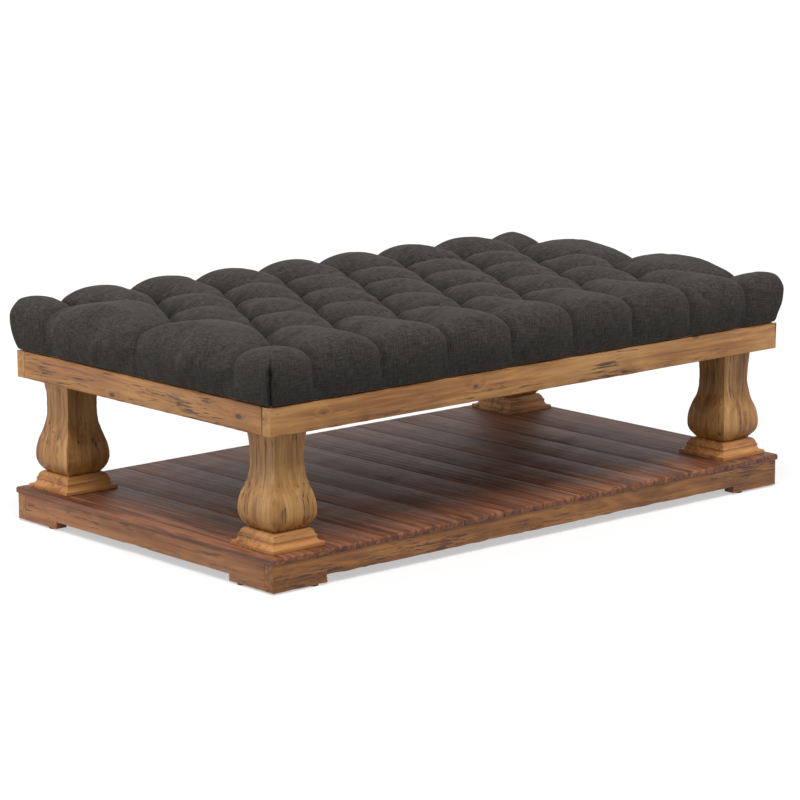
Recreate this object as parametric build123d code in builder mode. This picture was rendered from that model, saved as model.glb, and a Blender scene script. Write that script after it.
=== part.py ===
"""Ottoman coffee table: tufted top, apron frame, four vase legs on plinths, boarded shelf.

Millimetres. +X runs along the length, -Y is the front, +Z is up.
The origin is at the middle of the table on the floor.
All repeated small pieces, such as buttons and screws, are separate solids in one part.
"""
from build123d import *
from math import asin, cos, hypot, radians, sin
import os

os.makedirs("parts", exist_ok=True)

# Heights, from the floor up
glide_height = 3.0
foot_drop = 13.5
base_rail_height = 39.0
board_thickness = 12.0
plinth_height = 33.0
leg_height = 187.0
apron_height = 53.0
cushion_height = 116.7

# Apron frame
apron_length = 1337.0
apron_depth = 778.0
rail_thickness = 25.0
edge_round = 1.5

# Legs: half widths and the heights where the outline turns
leg_inset = 75.0
leg_top_half = 40.0
leg_neck_half = 35.0
leg_belly_half = 51.7
leg_foot_half = 36.7
leg_neck_height = 129.0
leg_belly_height = 32.0
leg_swell_radius = 125.0

# Plinths under the legs
plinth_half = 62.0
plinth_band = 8.0
plinth_fillet = 2.0
plinth_cove_half = 52.0
plinth_cove_top = 19.5
plinth_ovolo_half = 49.5
plinth_ovolo_foot = 21.5
plinth_top_half = 43.0

# Shelf and base: the shelf stands out past the apron at its ends and its sides
shelf_end_overhang = 3.5
shelf_side_overhang = 8.0
middle_board_count = 10
end_board_width = 157.3
board_gap = 0.4
board_nose = 4.5
board_groove = 1.2
board_overhang = 2.0
foot_length = 128.0
foot_corner_chamfer = 2.0

# Blocks and battens behind the rails
block_size = 100.0
apron_block_height = 38.0
base_block_height = 34.0
deck_batten_width = 45.0
deck_batten_height = 22.0
deck_batten_shares = (-0.49, 0, 0.49)
deck_screw_shares = (-0.6, 0, 0.6)
shelf_batten_width = 60.0
shelf_batten_height = 24.0
shelf_batten_share = 0.47

# Fasteners
bolt_diameter = 8.0
bolt_clearance = 0.2
washer_diameter = 20.0
washer_thickness = 1.6
nut_across_flats = 13.0
nut_height = 6.5
bolt_head_height = 5.5
stud_tail = 2.0
stud_in_leg = 50.0
lag_in_leg = 45.0
screw_diameter = 4.0
screw_head_diameter = 8.0
screw_head_height = 2.4
screw_clearance = 0.1
deck_screw_grip = 11.0
board_screw_grip = 8.0
tenon_width = 28.0
tenon_thickness = 8.0
tenon_length = 36.0
tenon_clearance = 0.1
tenon_end_room = 1.0
glide_diameter = 20.0
glide_pin_diameter = 2.5
glide_pin_length = 10.0
glide_spacing = 103.0

# Top: deck, foam and cover
fabric_thickness = 1.2
flange_width = 45.0
deck_thickness = 16.0
deck_inset = 6.0
foam_thickness = 40.0
soft_clearance = 0.3
twine_diameter = 2.4
twine_clearance = 0.3
button_diameter = 22.0
button_height = 7.0
button_rim = 2.5
button_slope = 45.0

# Tufting: places of the outer buttons in from the apron, and heights above it
tuft_end_margin = 98.0
tuft_side_margin = 102.0
long_row_count = 8
row_count = 5
pit_height = 64.5
pit_seat_width = 24.0
pit_mouth_width = 68.0
fold_height = 92.0
edge_pillow_drop = 2.5

# Side of the cushion, drawn in at the apron and round at the shoulder
cushion_bulge = 17.5
belly_height = 60.0
shoulder_radius = 54.0
crown_rise = 6.0

# Folds over the edge: how deep and wide each is where the side leans at these angles
fold_half_width = 7.0
fold_depth = 13.0
fold_angles = (60, 35, 10, -10, -34)
fold_depth_shares = (1, 1, 0.8, 0.55, 0.25)
fold_width_shares = (1, 0.9, 0.7, 0.6, 0.5)

# Overrun of every cut
overrun = 4.0

# Levels worked out from the heights
foot_z = glide_height
rail_underside_z = foot_z + foot_drop
boards_z = rail_underside_z + base_rail_height
shelf_z = boards_z + board_thickness
leg_z = shelf_z + plinth_height
apron_z = leg_z + leg_height
cushion_z = apron_z + apron_height
deck_z = cushion_z + fabric_thickness
foam_z = deck_z + deck_thickness
foam_top_z = foam_z + foam_thickness
seat_z = cushion_z + pit_height
base_rail_z_span = boards_z - foot_z

# Places in plan
apron_x = apron_length / 2
apron_y = apron_depth / 2
leg_x = apron_x - leg_inset
leg_y = apron_y - leg_inset
shelf_x = apron_x + shelf_end_overhang
shelf_y = apron_y + shelf_side_overhang
base_x = shelf_x - board_overhang
base_y = shelf_y - board_overhang
corners = [("front_left", -1, -1), ("front_right", 1, -1), ("rear_left", -1, 1), ("rear_right", 1, 1)]
leg_places = [(side_x * leg_x, side_y * leg_y) for _, side_x, side_y in corners]

bolt_hole_radius = bolt_diameter / 2 + bolt_clearance
screw_hole_radius = screw_diameter / 2 + screw_clearance
mortise_width = tenon_width + 2 * tenon_clearance
mortise_thickness = tenon_thickness + 2 * tenon_clearance
mortise_depth = tenon_length / 2 + tenon_end_room
twine_hole_radius = twine_diameter / 2 + twine_clearance

# Small round sections repeat many times, so they have few sides
hexagon = 6
octagon = 8
disc_sides = 12
pin_hole_radius = glide_pin_diameter / 2 + screw_clearance


def facing_y(x, y, z, sign):
    """Plane at a point that looks along +Y or -Y."""
    return Plane(origin=(x, y, z), x_dir=(1, 0, 0), z_dir=(0, sign, 0))


def facing_x(x, y, z, sign):
    """Plane at a point that looks along +X or -X."""
    return Plane(origin=(x, y, z), x_dir=(0, 1, 0), z_dir=(sign, 0, 0))


# Loose-tenon joints: each is the plane of the joint face, looking out of the rail that is mortised,
# with its x direction along the width of the tenon
apron_tenon_x = apron_x - rail_thickness / 2
apron_joint_y = apron_y - rail_thickness
apron_corner_joints = [
    Plane(origin=(side_x * apron_tenon_x, side_y * apron_joint_y, apron_z + apron_height / 2),
          x_dir=(0, 0, 1), z_dir=(0, -side_y, 0))
    for _, side_x, side_y in corners
]
deck_batten_xs = [apron_x * share for share in deck_batten_shares]
deck_batten_z = cushion_z - deck_batten_height
deck_batten_joints = [
    facing_y(x, side_y * apron_joint_y, deck_batten_z + deck_batten_height / 2, -side_y)
    for x in deck_batten_xs
    for side_y in (-1, 1)
]
base_tenon_x = base_x - rail_thickness / 2
base_joint_y = base_y - rail_thickness
base_joint_x = base_x - rail_thickness
base_corner_joints = [
    Plane(origin=(side_x * base_tenon_x, side_y * base_joint_y, rail_underside_z + base_rail_height / 2),
          x_dir=(0, 0, 1), z_dir=(0, -side_y, 0))
    for _, side_x, side_y in corners
]
shelf_batten_z = boards_z - shelf_batten_height
shelf_batten_y = base_y * shelf_batten_share
shelf_batten_joints = [
    facing_x(side_x * base_joint_x, row * shelf_batten_y, shelf_batten_z + shelf_batten_height / 2,
             -side_x)
    for side_x in (-1, 1)
    for row in (-1, 1)
]

# Glide places under the feet: two at each corner, one on each rail
long_rail_glides = [(side_x * (base_x - glide_spacing), side_y * (base_y - rail_thickness / 2))
                    for _, side_x, side_y in corners]
short_rail_glides = [(side_x * (base_x - rail_thickness / 2), side_y * (base_y - glide_spacing))
                     for _, side_x, side_y in corners]

# Apron rails: the long ones run the whole length, the short ones fit between them
for name, side in (("apron_rail_front", -1), ("apron_rail_rear", 1)):
    with BuildPart() as long_rail:
        with BuildSketch(Plane.XY.offset(apron_z)):
            with Locations((0, side * (apron_y - rail_thickness / 2))):
                Rectangle(apron_length, rail_thickness)
        extrude(amount=apron_height)
        outer_edges = long_rail.faces().sort_by(Axis.Y)[0 if side < 0 else -1].edges()
        chamfer(outer_edges, edge_round)
        joints = [joint for joint in apron_corner_joints + deck_batten_joints if joint.z_dir.Y == -side]
        with BuildSketch(*joints):
            Rectangle(mortise_width, mortise_thickness)
        extrude(amount=-mortise_depth, mode=Mode.SUBTRACT)
    long_rail.part.label = name
    export_step(long_rail.part, f"parts/{name}.step")

for name, side in (("apron_rail_left", -1), ("apron_rail_right", 1)):
    with BuildPart() as short_rail:
        with BuildSketch(Plane.XY.offset(apron_z)):
            with Locations((side * (apron_x - rail_thickness / 2), 0)):
                Rectangle(rail_thickness, 2 * apron_joint_y)
        extrude(amount=apron_height)
        outer_face = short_rail.faces().sort_by(Axis.X)[0 if side < 0 else -1]
        chamfer(outer_face.edges().filter_by(Axis.Y), edge_round)
        with BuildSketch(*[joint for joint in apron_corner_joints if joint.origin.X * side > 0]):
            Rectangle(mortise_width, mortise_thickness)
        extrude(amount=mortise_depth, mode=Mode.SUBTRACT)
    short_rail.part.label = name
    export_step(short_rail.part, f"parts/{name}.step")

# Mounting blocks in the apron corners
for corner, side_x, side_y in corners:
    with BuildPart() as apron_block:
        with BuildSketch(Plane.XY.offset(apron_z)):
            with Locations((side_x * (apron_x - rail_thickness - block_size / 2),
                            side_y * (apron_joint_y - block_size / 2))):
                Rectangle(block_size, block_size)
            with Locations((side_x * leg_x, side_y * leg_y)):
                RegularPolygon(bolt_hole_radius, octagon, major_radius=False, mode=Mode.SUBTRACT)
        extrude(amount=apron_block_height)
    name = f"apron_block_{corner}"
    apron_block.part.label = name
    export_step(apron_block.part, f"parts/{name}.step")

# Battens across the apron, which the deck is screwed to
deck_screw_ys = [apron_joint_y * share for share in deck_screw_shares]
for name, x in zip(("deck_batten_left", "deck_batten_middle", "deck_batten_right"), deck_batten_xs):
    with BuildPart() as deck_batten:
        with BuildSketch(Plane.XY.offset(deck_batten_z)):
            with Locations((x, 0)):
                Rectangle(deck_batten_width, 2 * apron_joint_y)
            with Locations([(x, y) for y in deck_screw_ys]):
                RegularPolygon(screw_hole_radius, hexagon, major_radius=False, mode=Mode.SUBTRACT)
        extrude(amount=deck_batten_height)
        with BuildSketch(*[joint for joint in deck_batten_joints if joint.origin.X == x]):
            Rectangle(mortise_width, mortise_thickness)
        extrude(amount=mortise_depth, mode=Mode.SUBTRACT)
    deck_batten.part.label = name
    export_step(deck_batten.part, f"parts/{name}.step")

# Legs: one outline used from the front and from the side gives the sharp mitred corners
leg_hollow_span = leg_neck_height - leg_belly_height
leg_swell = leg_belly_half - leg_neck_half
leg_radius_sum = (leg_swell ** 2 + leg_hollow_span ** 2) / (2 * leg_swell)
leg_hollow_radius = leg_radius_sum - leg_swell_radius
leg_turn = asin(leg_hollow_span / leg_radius_sum)
leg_turn_half = leg_neck_half + leg_hollow_radius * (1 - cos(leg_turn))
leg_turn_height = leg_neck_height - leg_hollow_radius * sin(leg_turn)

for corner, side_x, side_y in corners:
    centre_x = side_x * leg_x
    centre_y = side_y * leg_y
    with BuildPart() as leg:
        for plane, mode in ((facing_y(centre_x, centre_y, leg_z, -1), Mode.ADD),
                            (facing_x(centre_x, centre_y, leg_z, 1), Mode.INTERSECT)):
            with BuildSketch(plane):
                with BuildLine():
                    Line((0, 0), (leg_foot_half, 0))
                    TangentArc((leg_belly_half, leg_belly_height), (leg_foot_half, 0),
                               tangent=(0, -1))
                    TangentArc((leg_belly_half, leg_belly_height), (leg_turn_half, leg_turn_height),
                               tangent=(0, 1))
                    TangentArc((leg_neck_half, leg_neck_height), (leg_turn_half, leg_turn_height),
                               tangent=(0, -1))
                    TangentArc((leg_neck_half, leg_neck_height), (leg_top_half, leg_height),
                               tangent=(0, 1))
                    Line((leg_top_half, leg_height), (0, leg_height))
                    mirror(about=Plane.YZ)
                make_face()
            extrude(amount=2 * leg_belly_half, both=True, mode=mode)
        for bore_z, depth in ((leg_z, lag_in_leg), (apron_z, -stud_in_leg)):
            with BuildSketch(Plane.XY.offset(bore_z)):
                with Locations((centre_x, centre_y)):
                    RegularPolygon(bolt_hole_radius, octagon, major_radius=False)
            extrude(amount=depth, mode=Mode.SUBTRACT)
    name = f"leg_{corner}"
    leg.part.label = name
    export_step(leg.part, f"parts/{name}.step")

# Plinths: band, cove, fillet and ovolo, mitred in the same way as the legs
for corner, side_x, side_y in corners:
    centre_x = side_x * leg_x
    centre_y = side_y * leg_y
    with BuildPart() as plinth:
        for plane, mode in ((facing_y(centre_x, centre_y, shelf_z, -1), Mode.ADD),
                            (facing_x(centre_x, centre_y, shelf_z, 1), Mode.INTERSECT)):
            with BuildSketch(plane):
                with BuildLine():
                    Line((0, 0), (plinth_half, 0))
                    Line((plinth_half, 0), (plinth_half, plinth_band))
                    Line((plinth_half, plinth_band), (plinth_half - plinth_fillet, plinth_band))
                    TangentArc((plinth_half - plinth_fillet, plinth_band),
                               (plinth_cove_half, plinth_cove_top), tangent=(-1, 0))
                    Line((plinth_cove_half, plinth_cove_top), (plinth_cove_half, plinth_ovolo_foot))
                    Line((plinth_cove_half, plinth_ovolo_foot), (plinth_ovolo_half, plinth_ovolo_foot))
                    TangentArc((plinth_ovolo_half, plinth_ovolo_foot), (plinth_top_half, plinth_height),
                               tangent=(0, 1))
                    Line((plinth_top_half, plinth_height), (0, plinth_height))
                    mirror(about=Plane.YZ)
                make_face()
            extrude(amount=2 * plinth_half, both=True, mode=mode)
        with BuildSketch(Plane.XY.offset(shelf_z)):
            with Locations((centre_x, centre_y)):
                RegularPolygon(bolt_hole_radius, octagon, major_radius=False)
        extrude(amount=plinth_height, mode=Mode.SUBTRACT)
    name = f"plinth_{corner}"
    plinth.part.label = name
    export_step(plinth.part, f"parts/{name}.step")

# Base rails: each is cut away underneath so that a foot is left at both ends
for name, side in (("base_rail_front", -1), ("base_rail_rear", 1)):
    with BuildPart() as base_rail:
        with BuildSketch(facing_y(0, side * base_y, foot_z, -1)):
            with Locations((0, base_rail_z_span / 2)):
                Rectangle(2 * base_x, base_rail_z_span)
            with Locations((0, foot_drop / 2)):
                Rectangle(2 * (base_x - foot_length), foot_drop, mode=Mode.SUBTRACT)
        extrude(amount=side * rail_thickness)
        long_edges = base_rail.edges().filter_by(Axis.Z).group_by(SortBy.LENGTH)[-1]
        outer_edges = long_edges.sort_by(Axis.Y)[:2] if side < 0 else long_edges.sort_by(Axis.Y)[-2:]
        chamfer(outer_edges, foot_corner_chamfer)
        with BuildSketch(*[joint for joint in base_corner_joints if joint.z_dir.Y == -side]):
            Rectangle(mortise_width, mortise_thickness)
        extrude(amount=-mortise_depth, mode=Mode.SUBTRACT)
        with BuildSketch(Plane.XY.offset(foot_z)):
            with Locations([(x, y) for x, y in long_rail_glides if y * side > 0]):
                RegularPolygon(pin_hole_radius, hexagon, major_radius=False)
        extrude(amount=glide_pin_length, mode=Mode.SUBTRACT)
    base_rail.part.label = name
    export_step(base_rail.part, f"parts/{name}.step")

for name, side in (("base_rail_left", -1), ("base_rail_right", 1)):
    with BuildPart() as base_rail:
        with BuildSketch(facing_x(side * base_x, 0, foot_z, 1)):
            with Locations((0, base_rail_z_span / 2)):
                Rectangle(2 * base_joint_y, base_rail_z_span)
            with Locations((0, foot_drop / 2)):
                Rectangle(2 * (base_y - foot_length), foot_drop, mode=Mode.SUBTRACT)
        extrude(amount=-side * rail_thickness)
        with BuildSketch(*[joint for joint in base_corner_joints if joint.origin.X * side > 0]):
            Rectangle(mortise_width, mortise_thickness)
        extrude(amount=mortise_depth, mode=Mode.SUBTRACT)
        with BuildSketch(*[joint for joint in shelf_batten_joints if joint.z_dir.X == -side]):
            Rectangle(mortise_width, mortise_thickness)
        extrude(amount=-mortise_depth, mode=Mode.SUBTRACT)
        with BuildSketch(Plane.XY.offset(foot_z)):
            with Locations([(x, y) for x, y in short_rail_glides if x * side > 0]):
                RegularPolygon(pin_hole_radius, hexagon, major_radius=False)
        extrude(amount=glide_pin_length, mode=Mode.SUBTRACT)
    base_rail.part.label = name
    export_step(base_rail.part, f"parts/{name}.step")

# Mounting blocks in the base corners
for corner, side_x, side_y in corners:
    with BuildPart() as base_block:
        with BuildSketch(Plane.XY.offset(boards_z - base_block_height)):
            with Locations((side_x * (base_joint_x - block_size / 2),
                            side_y * (base_joint_y - block_size / 2))):
                Rectangle(block_size, block_size)
            with Locations((side_x * leg_x, side_y * leg_y)):
                RegularPolygon(bolt_hole_radius, octagon, major_radius=False, mode=Mode.SUBTRACT)
        extrude(amount=base_block_height)
    name = f"base_block_{corner}"
    base_block.part.label = name
    export_step(base_block.part, f"parts/{name}.step")

# Shelf boards, from left to right: widths, middles and the board screws up into them
board_pitch = (2 * (shelf_x - end_board_width) - board_gap) / middle_board_count
middle_board_width = board_pitch - board_gap
board_middles = [-shelf_x + end_board_width / 2]
for step in range(middle_board_count):
    board_middles.append(board_pitch * (step - (middle_board_count - 1) / 2))
board_middles.append(shelf_x - end_board_width / 2)
batten_rows = (-shelf_batten_y, shelf_batten_y)
board_screw_places = [(x, y) for x in board_middles for y in batten_rows]

for number, middle in enumerate(board_middles, start=1):
    outer_end = number in (1, len(board_middles))
    width = end_board_width if outer_end else middle_board_width
    with BuildPart() as board:
        with BuildSketch(Plane.XY.offset(boards_z)):
            with Locations((middle, 0)):
                Rectangle(width, 2 * shelf_y)
        extrude(amount=board_thickness)
        top_face = board.faces().sort_by(Axis.Z)[-1]
        shelf_end_edges = [edge for edge in top_face.edges().filter_by(Axis.Y)
                           if abs(edge.center().X) > shelf_x - board_nose]
        fillet(top_face.edges().filter_by(Axis.X) + shelf_end_edges, board_nose)
        top_face = board.faces().filter_by(Axis.Z).sort_by(Axis.Z)[-1]
        seam_edges = [edge for edge in top_face.edges().filter_by(Axis.Y)
                      if abs(edge.center().X) < shelf_x - 2 * board_nose]
        chamfer(seam_edges, board_groove)
        with BuildSketch(Plane.XY.offset(boards_z)):
            with Locations([(middle, y) for y in batten_rows]):
                RegularPolygon(screw_hole_radius, hexagon, major_radius=False)
        extrude(amount=board_screw_grip, mode=Mode.SUBTRACT)
        if outer_end:
            with BuildSketch(Plane.XY.offset(boards_z)):
                with Locations([(x, y) for x, y in leg_places if x * middle > 0]):
                    RegularPolygon(bolt_hole_radius, octagon, major_radius=False)
            extrude(amount=board_thickness, mode=Mode.SUBTRACT)
    name = f"shelf_board_{number:02d}"
    board.part.label = name
    export_step(board.part, f"parts/{name}.step")

# Battens under the shelf boards
for name, y in (("shelf_batten_front", -shelf_batten_y), ("shelf_batten_rear", shelf_batten_y)):
    with BuildPart() as shelf_batten:
        with BuildSketch(Plane.XY.offset(shelf_batten_z)):
            with Locations((0, y)):
                Rectangle(2 * base_joint_x, shelf_batten_width)
            with Locations([(x, y) for x in board_middles]):
                RegularPolygon(screw_hole_radius, hexagon, major_radius=False, mode=Mode.SUBTRACT)
        extrude(amount=shelf_batten_height)
        with BuildSketch(*[joint for joint in shelf_batten_joints if joint.origin.Y * y > 0]):
            Rectangle(mortise_width, mortise_thickness)
        extrude(amount=mortise_depth, mode=Mode.SUBTRACT)
    shelf_batten.part.label = name
    export_step(shelf_batten.part, f"parts/{name}.step")

# Loose tenons in the rail and batten joints
for name, joints in (("apron_tenons", apron_corner_joints + deck_batten_joints),
                     ("base_tenons", base_corner_joints + shelf_batten_joints)):
    with BuildPart() as tenons:
        with BuildSketch(*joints):
            Rectangle(tenon_width, tenon_thickness)
        extrude(amount=tenon_length / 2, both=True)
    tenons.part.label = name
    export_step(tenons.part, f"parts/{name}.step")

# Leg fasteners: threaded stud, washer and nut at the top, lag bolt and washer at the bottom
block_top_z = apron_z + apron_block_height
nut_z = block_top_z + washer_thickness
stud_length = stud_in_leg + apron_block_height + washer_thickness + nut_height + stud_tail
with BuildPart() as leg_studs:
    with BuildSketch(Plane.XY.offset(apron_z - stud_in_leg)):
        with Locations(leg_places):
            RegularPolygon(bolt_diameter / 2, octagon, major_radius=False)
    extrude(amount=stud_length)
leg_studs.part.label = "leg_studs"
export_step(leg_studs.part, "parts/leg_studs.step")

block_underside_z = boards_z - base_block_height
lag_head_z = block_underside_z - washer_thickness - bolt_head_height
for name, low_z in (("stud_washers", block_top_z), ("lag_washers", block_underside_z - washer_thickness)):
    with BuildPart() as washers:
        with BuildSketch(Plane.XY.offset(low_z)):
            with Locations(leg_places):
                RegularPolygon(washer_diameter / 2, disc_sides)
                RegularPolygon(bolt_hole_radius, octagon, major_radius=False, mode=Mode.SUBTRACT)
        extrude(amount=washer_thickness)
    washers.part.label = name
    export_step(washers.part, f"parts/{name}.step")

with BuildPart() as stud_nuts:
    with BuildSketch(Plane.XY.offset(nut_z)):
        with Locations(leg_places):
            RegularPolygon(nut_across_flats / 2, hexagon, major_radius=False)
            RegularPolygon(bolt_diameter / 2 + screw_clearance, octagon, major_radius=False,
                           mode=Mode.SUBTRACT)
    extrude(amount=nut_height)
stud_nuts.part.label = "stud_nuts"
export_step(stud_nuts.part, "parts/stud_nuts.step")

lag_reach = washer_thickness + base_block_height + board_thickness + plinth_height + lag_in_leg
with BuildPart() as lag_bolts:
    with BuildSketch(Plane.XY.offset(lag_head_z)):
        with Locations(leg_places):
            RegularPolygon(nut_across_flats / 2, hexagon, major_radius=False)
    extrude(amount=bolt_head_height)
    with BuildSketch(Plane.XY.offset(lag_head_z + bolt_head_height)):
        with Locations(leg_places):
            RegularPolygon(bolt_diameter / 2, octagon, major_radius=False)
    extrude(amount=lag_reach - screw_clearance)
lag_bolts.part.label = "lag_bolts"
export_step(lag_bolts.part, "parts/lag_bolts.step")

# Screws up through the battens: a hexagon head under the batten and a shank into deck or board
deck_screw_places = [(x, y) for x in deck_batten_xs for y in deck_screw_ys]
deck_screw_length = deck_batten_height + fabric_thickness + deck_screw_grip
board_screw_length = shelf_batten_height + board_screw_grip
for name, places, low_z, length in (
    ("deck_screws", deck_screw_places, deck_batten_z, deck_screw_length),
    ("board_screws", board_screw_places, shelf_batten_z, board_screw_length),
):
    with BuildPart() as screws:
        with BuildSketch(Plane.XY.offset(low_z - screw_head_height)):
            with Locations(places):
                RegularPolygon(screw_head_diameter / 2, hexagon)
        extrude(amount=screw_head_height)
        with BuildSketch(Plane.XY.offset(low_z)):
            with Locations(places):
                RegularPolygon(screw_diameter / 2, hexagon, major_radius=False)
        extrude(amount=length - screw_clearance)
    screws.part.label = name
    export_step(screws.part, f"parts/{name}.step")

# Nail-on glides under the feet
with BuildPart() as glides:
    with BuildSketch():
        with Locations(long_rail_glides + short_rail_glides):
            RegularPolygon(glide_diameter / 2, disc_sides)
    extrude(amount=glide_height)
    with BuildSketch(Plane.XY.offset(glide_height)):
        with Locations(long_rail_glides + short_rail_glides):
            RegularPolygon(glide_pin_diameter / 2, hexagon, major_radius=False)
    extrude(amount=glide_pin_length - screw_clearance)
glides.part.label = "glides"
export_step(glides.part, "parts/glides.step")

# Places of the tufting buttons: long rows of eight, short rows of seven between them
tuft_pitch = (apron_length - 2 * tuft_end_margin) / (long_row_count - 1)
tuft_row_spacing = (apron_depth - 2 * tuft_side_margin) / (row_count - 1)
button_places = []
row_ys = [tuft_row_spacing * (row - (row_count - 1) / 2) for row in range(row_count)]
for row, y in enumerate(row_ys):
    count = long_row_count - row % 2
    button_places += [(tuft_pitch * (step - (count - 1) / 2), y) for step in range(count)]

# Plywood deck with a hole for each twine
deck_x = apron_x - deck_inset
deck_y = apron_y - deck_inset
with BuildPart() as deck_panel:
    with BuildSketch(Plane.XY.offset(deck_z)):
        Rectangle(2 * deck_x, 2 * deck_y)
        with Locations(button_places):
            RegularPolygon(twine_hole_radius, hexagon, major_radius=False, mode=Mode.SUBTRACT)
    extrude(amount=deck_thickness)
    with BuildSketch(Plane.XY.offset(deck_z)):
        with Locations(deck_screw_places):
            RegularPolygon(screw_hole_radius, hexagon, major_radius=False)
    extrude(amount=deck_screw_grip, mode=Mode.SUBTRACT)
deck_panel.part.label = "deck_panel"
export_step(deck_panel.part, "parts/deck_panel.step")

# Foam slab on the deck
with BuildPart() as foam_pad:
    with BuildSketch(Plane.XY.offset(foam_z)):
        Rectangle(2 * deck_x, 2 * deck_y)
        with Locations(button_places):
            RegularPolygon(twine_hole_radius, hexagon, major_radius=False, mode=Mode.SUBTRACT)
    extrude(amount=foam_thickness)
foam_pad.part.label = "foam_pad"
export_step(foam_pad.part, "parts/foam_pad.step")

# Dust cover under the deck, inside the turned-in edge of the cover
with BuildPart() as dust_cover:
    with BuildSketch(Plane.XY.offset(cushion_z)):
        Rectangle(2 * (deck_x - flange_width - soft_clearance),
                  2 * (deck_y - flange_width - soft_clearance))
        with Locations(deck_screw_places):
            RegularPolygon(screw_hole_radius, hexagon, major_radius=False, mode=Mode.SUBTRACT)
    extrude(amount=fabric_thickness)
dust_cover.part.label = "dust_cover"
export_step(dust_cover.part, "parts/dust_cover.step")

# Tufting twine, from under the deck to the button
with BuildPart() as tufting_twine:
    with BuildSketch(Plane.XY.offset(deck_z)):
        with Locations(button_places):
            RegularPolygon(twine_diameter / 2, hexagon, major_radius=False)
    extrude(amount=seat_z - deck_z)
tufting_twine.part.label = "tufting_twine"
export_step(tufting_twine.part, "parts/tufting_twine.step")

# Covered buttons: a low rim and a sloping crown
with BuildPart() as tuft_buttons:
    with BuildSketch(Plane.XY.offset(seat_z)):
        with Locations(button_places):
            RegularPolygon(button_diameter / 2, octagon)
    extrude(amount=button_rim)
    with BuildSketch(Plane.XY.offset(seat_z + button_rim)):
        with Locations(button_places):
            RegularPolygon(button_diameter / 2, octagon)
    extrude(amount=button_height - button_rim, taper=button_slope)
tuft_buttons.part.label = "tuft_buttons"
export_step(tuft_buttons.part, "parts/tuft_buttons.step")

# Tufted cover with its filling. The folds run from button to button and straight out to the edges,
# and each cell between them is a pillow: its surface rises from every fold in the same arc.
long_row_xs = [x for x, y in button_places if y == row_ys[0]]
short_row_xs = [x for x, y in button_places if y == row_ys[1]]
last_x = long_row_xs[-1]
last_y = row_ys[-1]
half_pitch = tuft_pitch / 2
outer_x = apron_x + cushion_bulge + overrun
outer_y = apron_y + cushion_bulge + overrun
edge_crest = cushion_height - edge_pillow_drop
pillow_half = half_pitch * tuft_row_spacing / hypot(half_pitch, tuft_row_spacing)

# Cells as (crest height, number of sides that are folds, corners from the first fold on)
cells = []
for row in range(1, row_count - 1):
    y = row_ys[row]
    for x in long_row_xs[1:-1] if row % 2 else short_row_xs:
        cells.append((cushion_height, 4, [(x - half_pitch, y), (x, y - tuft_row_spacing),
                                          (x + half_pitch, y), (x, y + tuft_row_spacing)]))
for side in (-1, 1):
    for x in short_row_xs:
        cells.append((edge_crest, 4, [(x - half_pitch, side * outer_y), (x - half_pitch, side * last_y),
                                      (x, side * (last_y - tuft_row_spacing)),
                                      (x + half_pitch, side * last_y), (x + half_pitch, side * outer_y)]))
    for y in row_ys[1::2]:
        low, high = y - tuft_row_spacing, y + tuft_row_spacing
        cells.append((edge_crest, 4, [(side * outer_x, low), (side * last_x, low),
                                      (side * (last_x - half_pitch), y),
                                      (side * last_x, high), (side * outer_x, high)]))
    for end in (-1, 1):
        cells.append((edge_crest, 2, [(side * last_x, end * outer_y), (side * last_x, end * last_y),
                                      (side * outer_x, end * last_y), (side * outer_x, end * outer_y)]))

pillows = []
for crest, fold_count, cell in cells:
    middle = Vector(sum(x for x, _ in cell) / len(cell), sum(y for _, y in cell) / len(cell))
    with BuildPart() as pillow:
        with BuildSketch(Plane.XY.offset(cushion_z)):
            with BuildLine():
                Polyline(*cell, close=True)
            make_face()
        extrude(amount=crest)
        for start, end in list(zip(cell, cell[1:] + cell[:1]))[:fold_count]:
            along = Vector(*end) - Vector(*start)
            inward = Vector(-along.Y, along.X)
            if inward.dot(middle - Vector(*start)) < 0:
                inward = -inward
            fold_line = Plane(origin=(start[0], start[1], cushion_z), x_dir=inward,
                              z_dir=inward.cross(Vector(0, 0, 1)))
            with BuildSketch(fold_line):
                with BuildLine():
                    TangentArc((pillow_half, crest), (0, fold_height), tangent=(-1, 0))
                    Polyline((0, fold_height), (-overrun, fold_height), (-overrun, crest + overrun),
                             (pillow_half, crest + overrun), (pillow_half, crest))
                make_face()
            extrude(amount=apron_length, both=True, mode=Mode.SUBTRACT)
    pillows.append(pillow.part)

# The pillows joined, inside the outline of the cushion as seen from the front and from the end
shoulder_top = belly_height + shoulder_radius
with BuildPart() as cushion_cover:
    add(pillows)
    for plane, half_base, reach in ((facing_y(0, 0, cushion_z, -1), apron_x, outer_y),
                                    (facing_x(0, 0, cushion_z, 1), apron_y, outer_x)):
        half_belly = half_base + cushion_bulge
        half_crown = half_belly - shoulder_radius
        with BuildSketch(plane):
            with BuildLine():
                Line((0, 0), (half_base, 0))
                TangentArc((half_belly, belly_height), (half_base, 0), tangent=(0, -1))
                TangentArc((half_belly, belly_height), (half_crown, shoulder_top), tangent=(0, 1))
                Line((half_crown, shoulder_top), (0, shoulder_top + crown_rise))
                mirror(about=Plane.YZ)
            make_face()
        extrude(amount=reach, both=True, mode=Mode.INTERSECT)

# Folds over the edges: a groove with a sharp bottom that follows the shoulder and runs out below
belly_radius = (belly_height ** 2 + cushion_bulge ** 2) / (2 * cushion_bulge)
edge_fold_places = [(facing_x, x, 0, side) for side in (-1, 1) for x in long_row_xs]
edge_fold_places += [(facing_y, 0, y, side) for side in (-1, 1) for y in row_ys[::2]]


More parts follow.
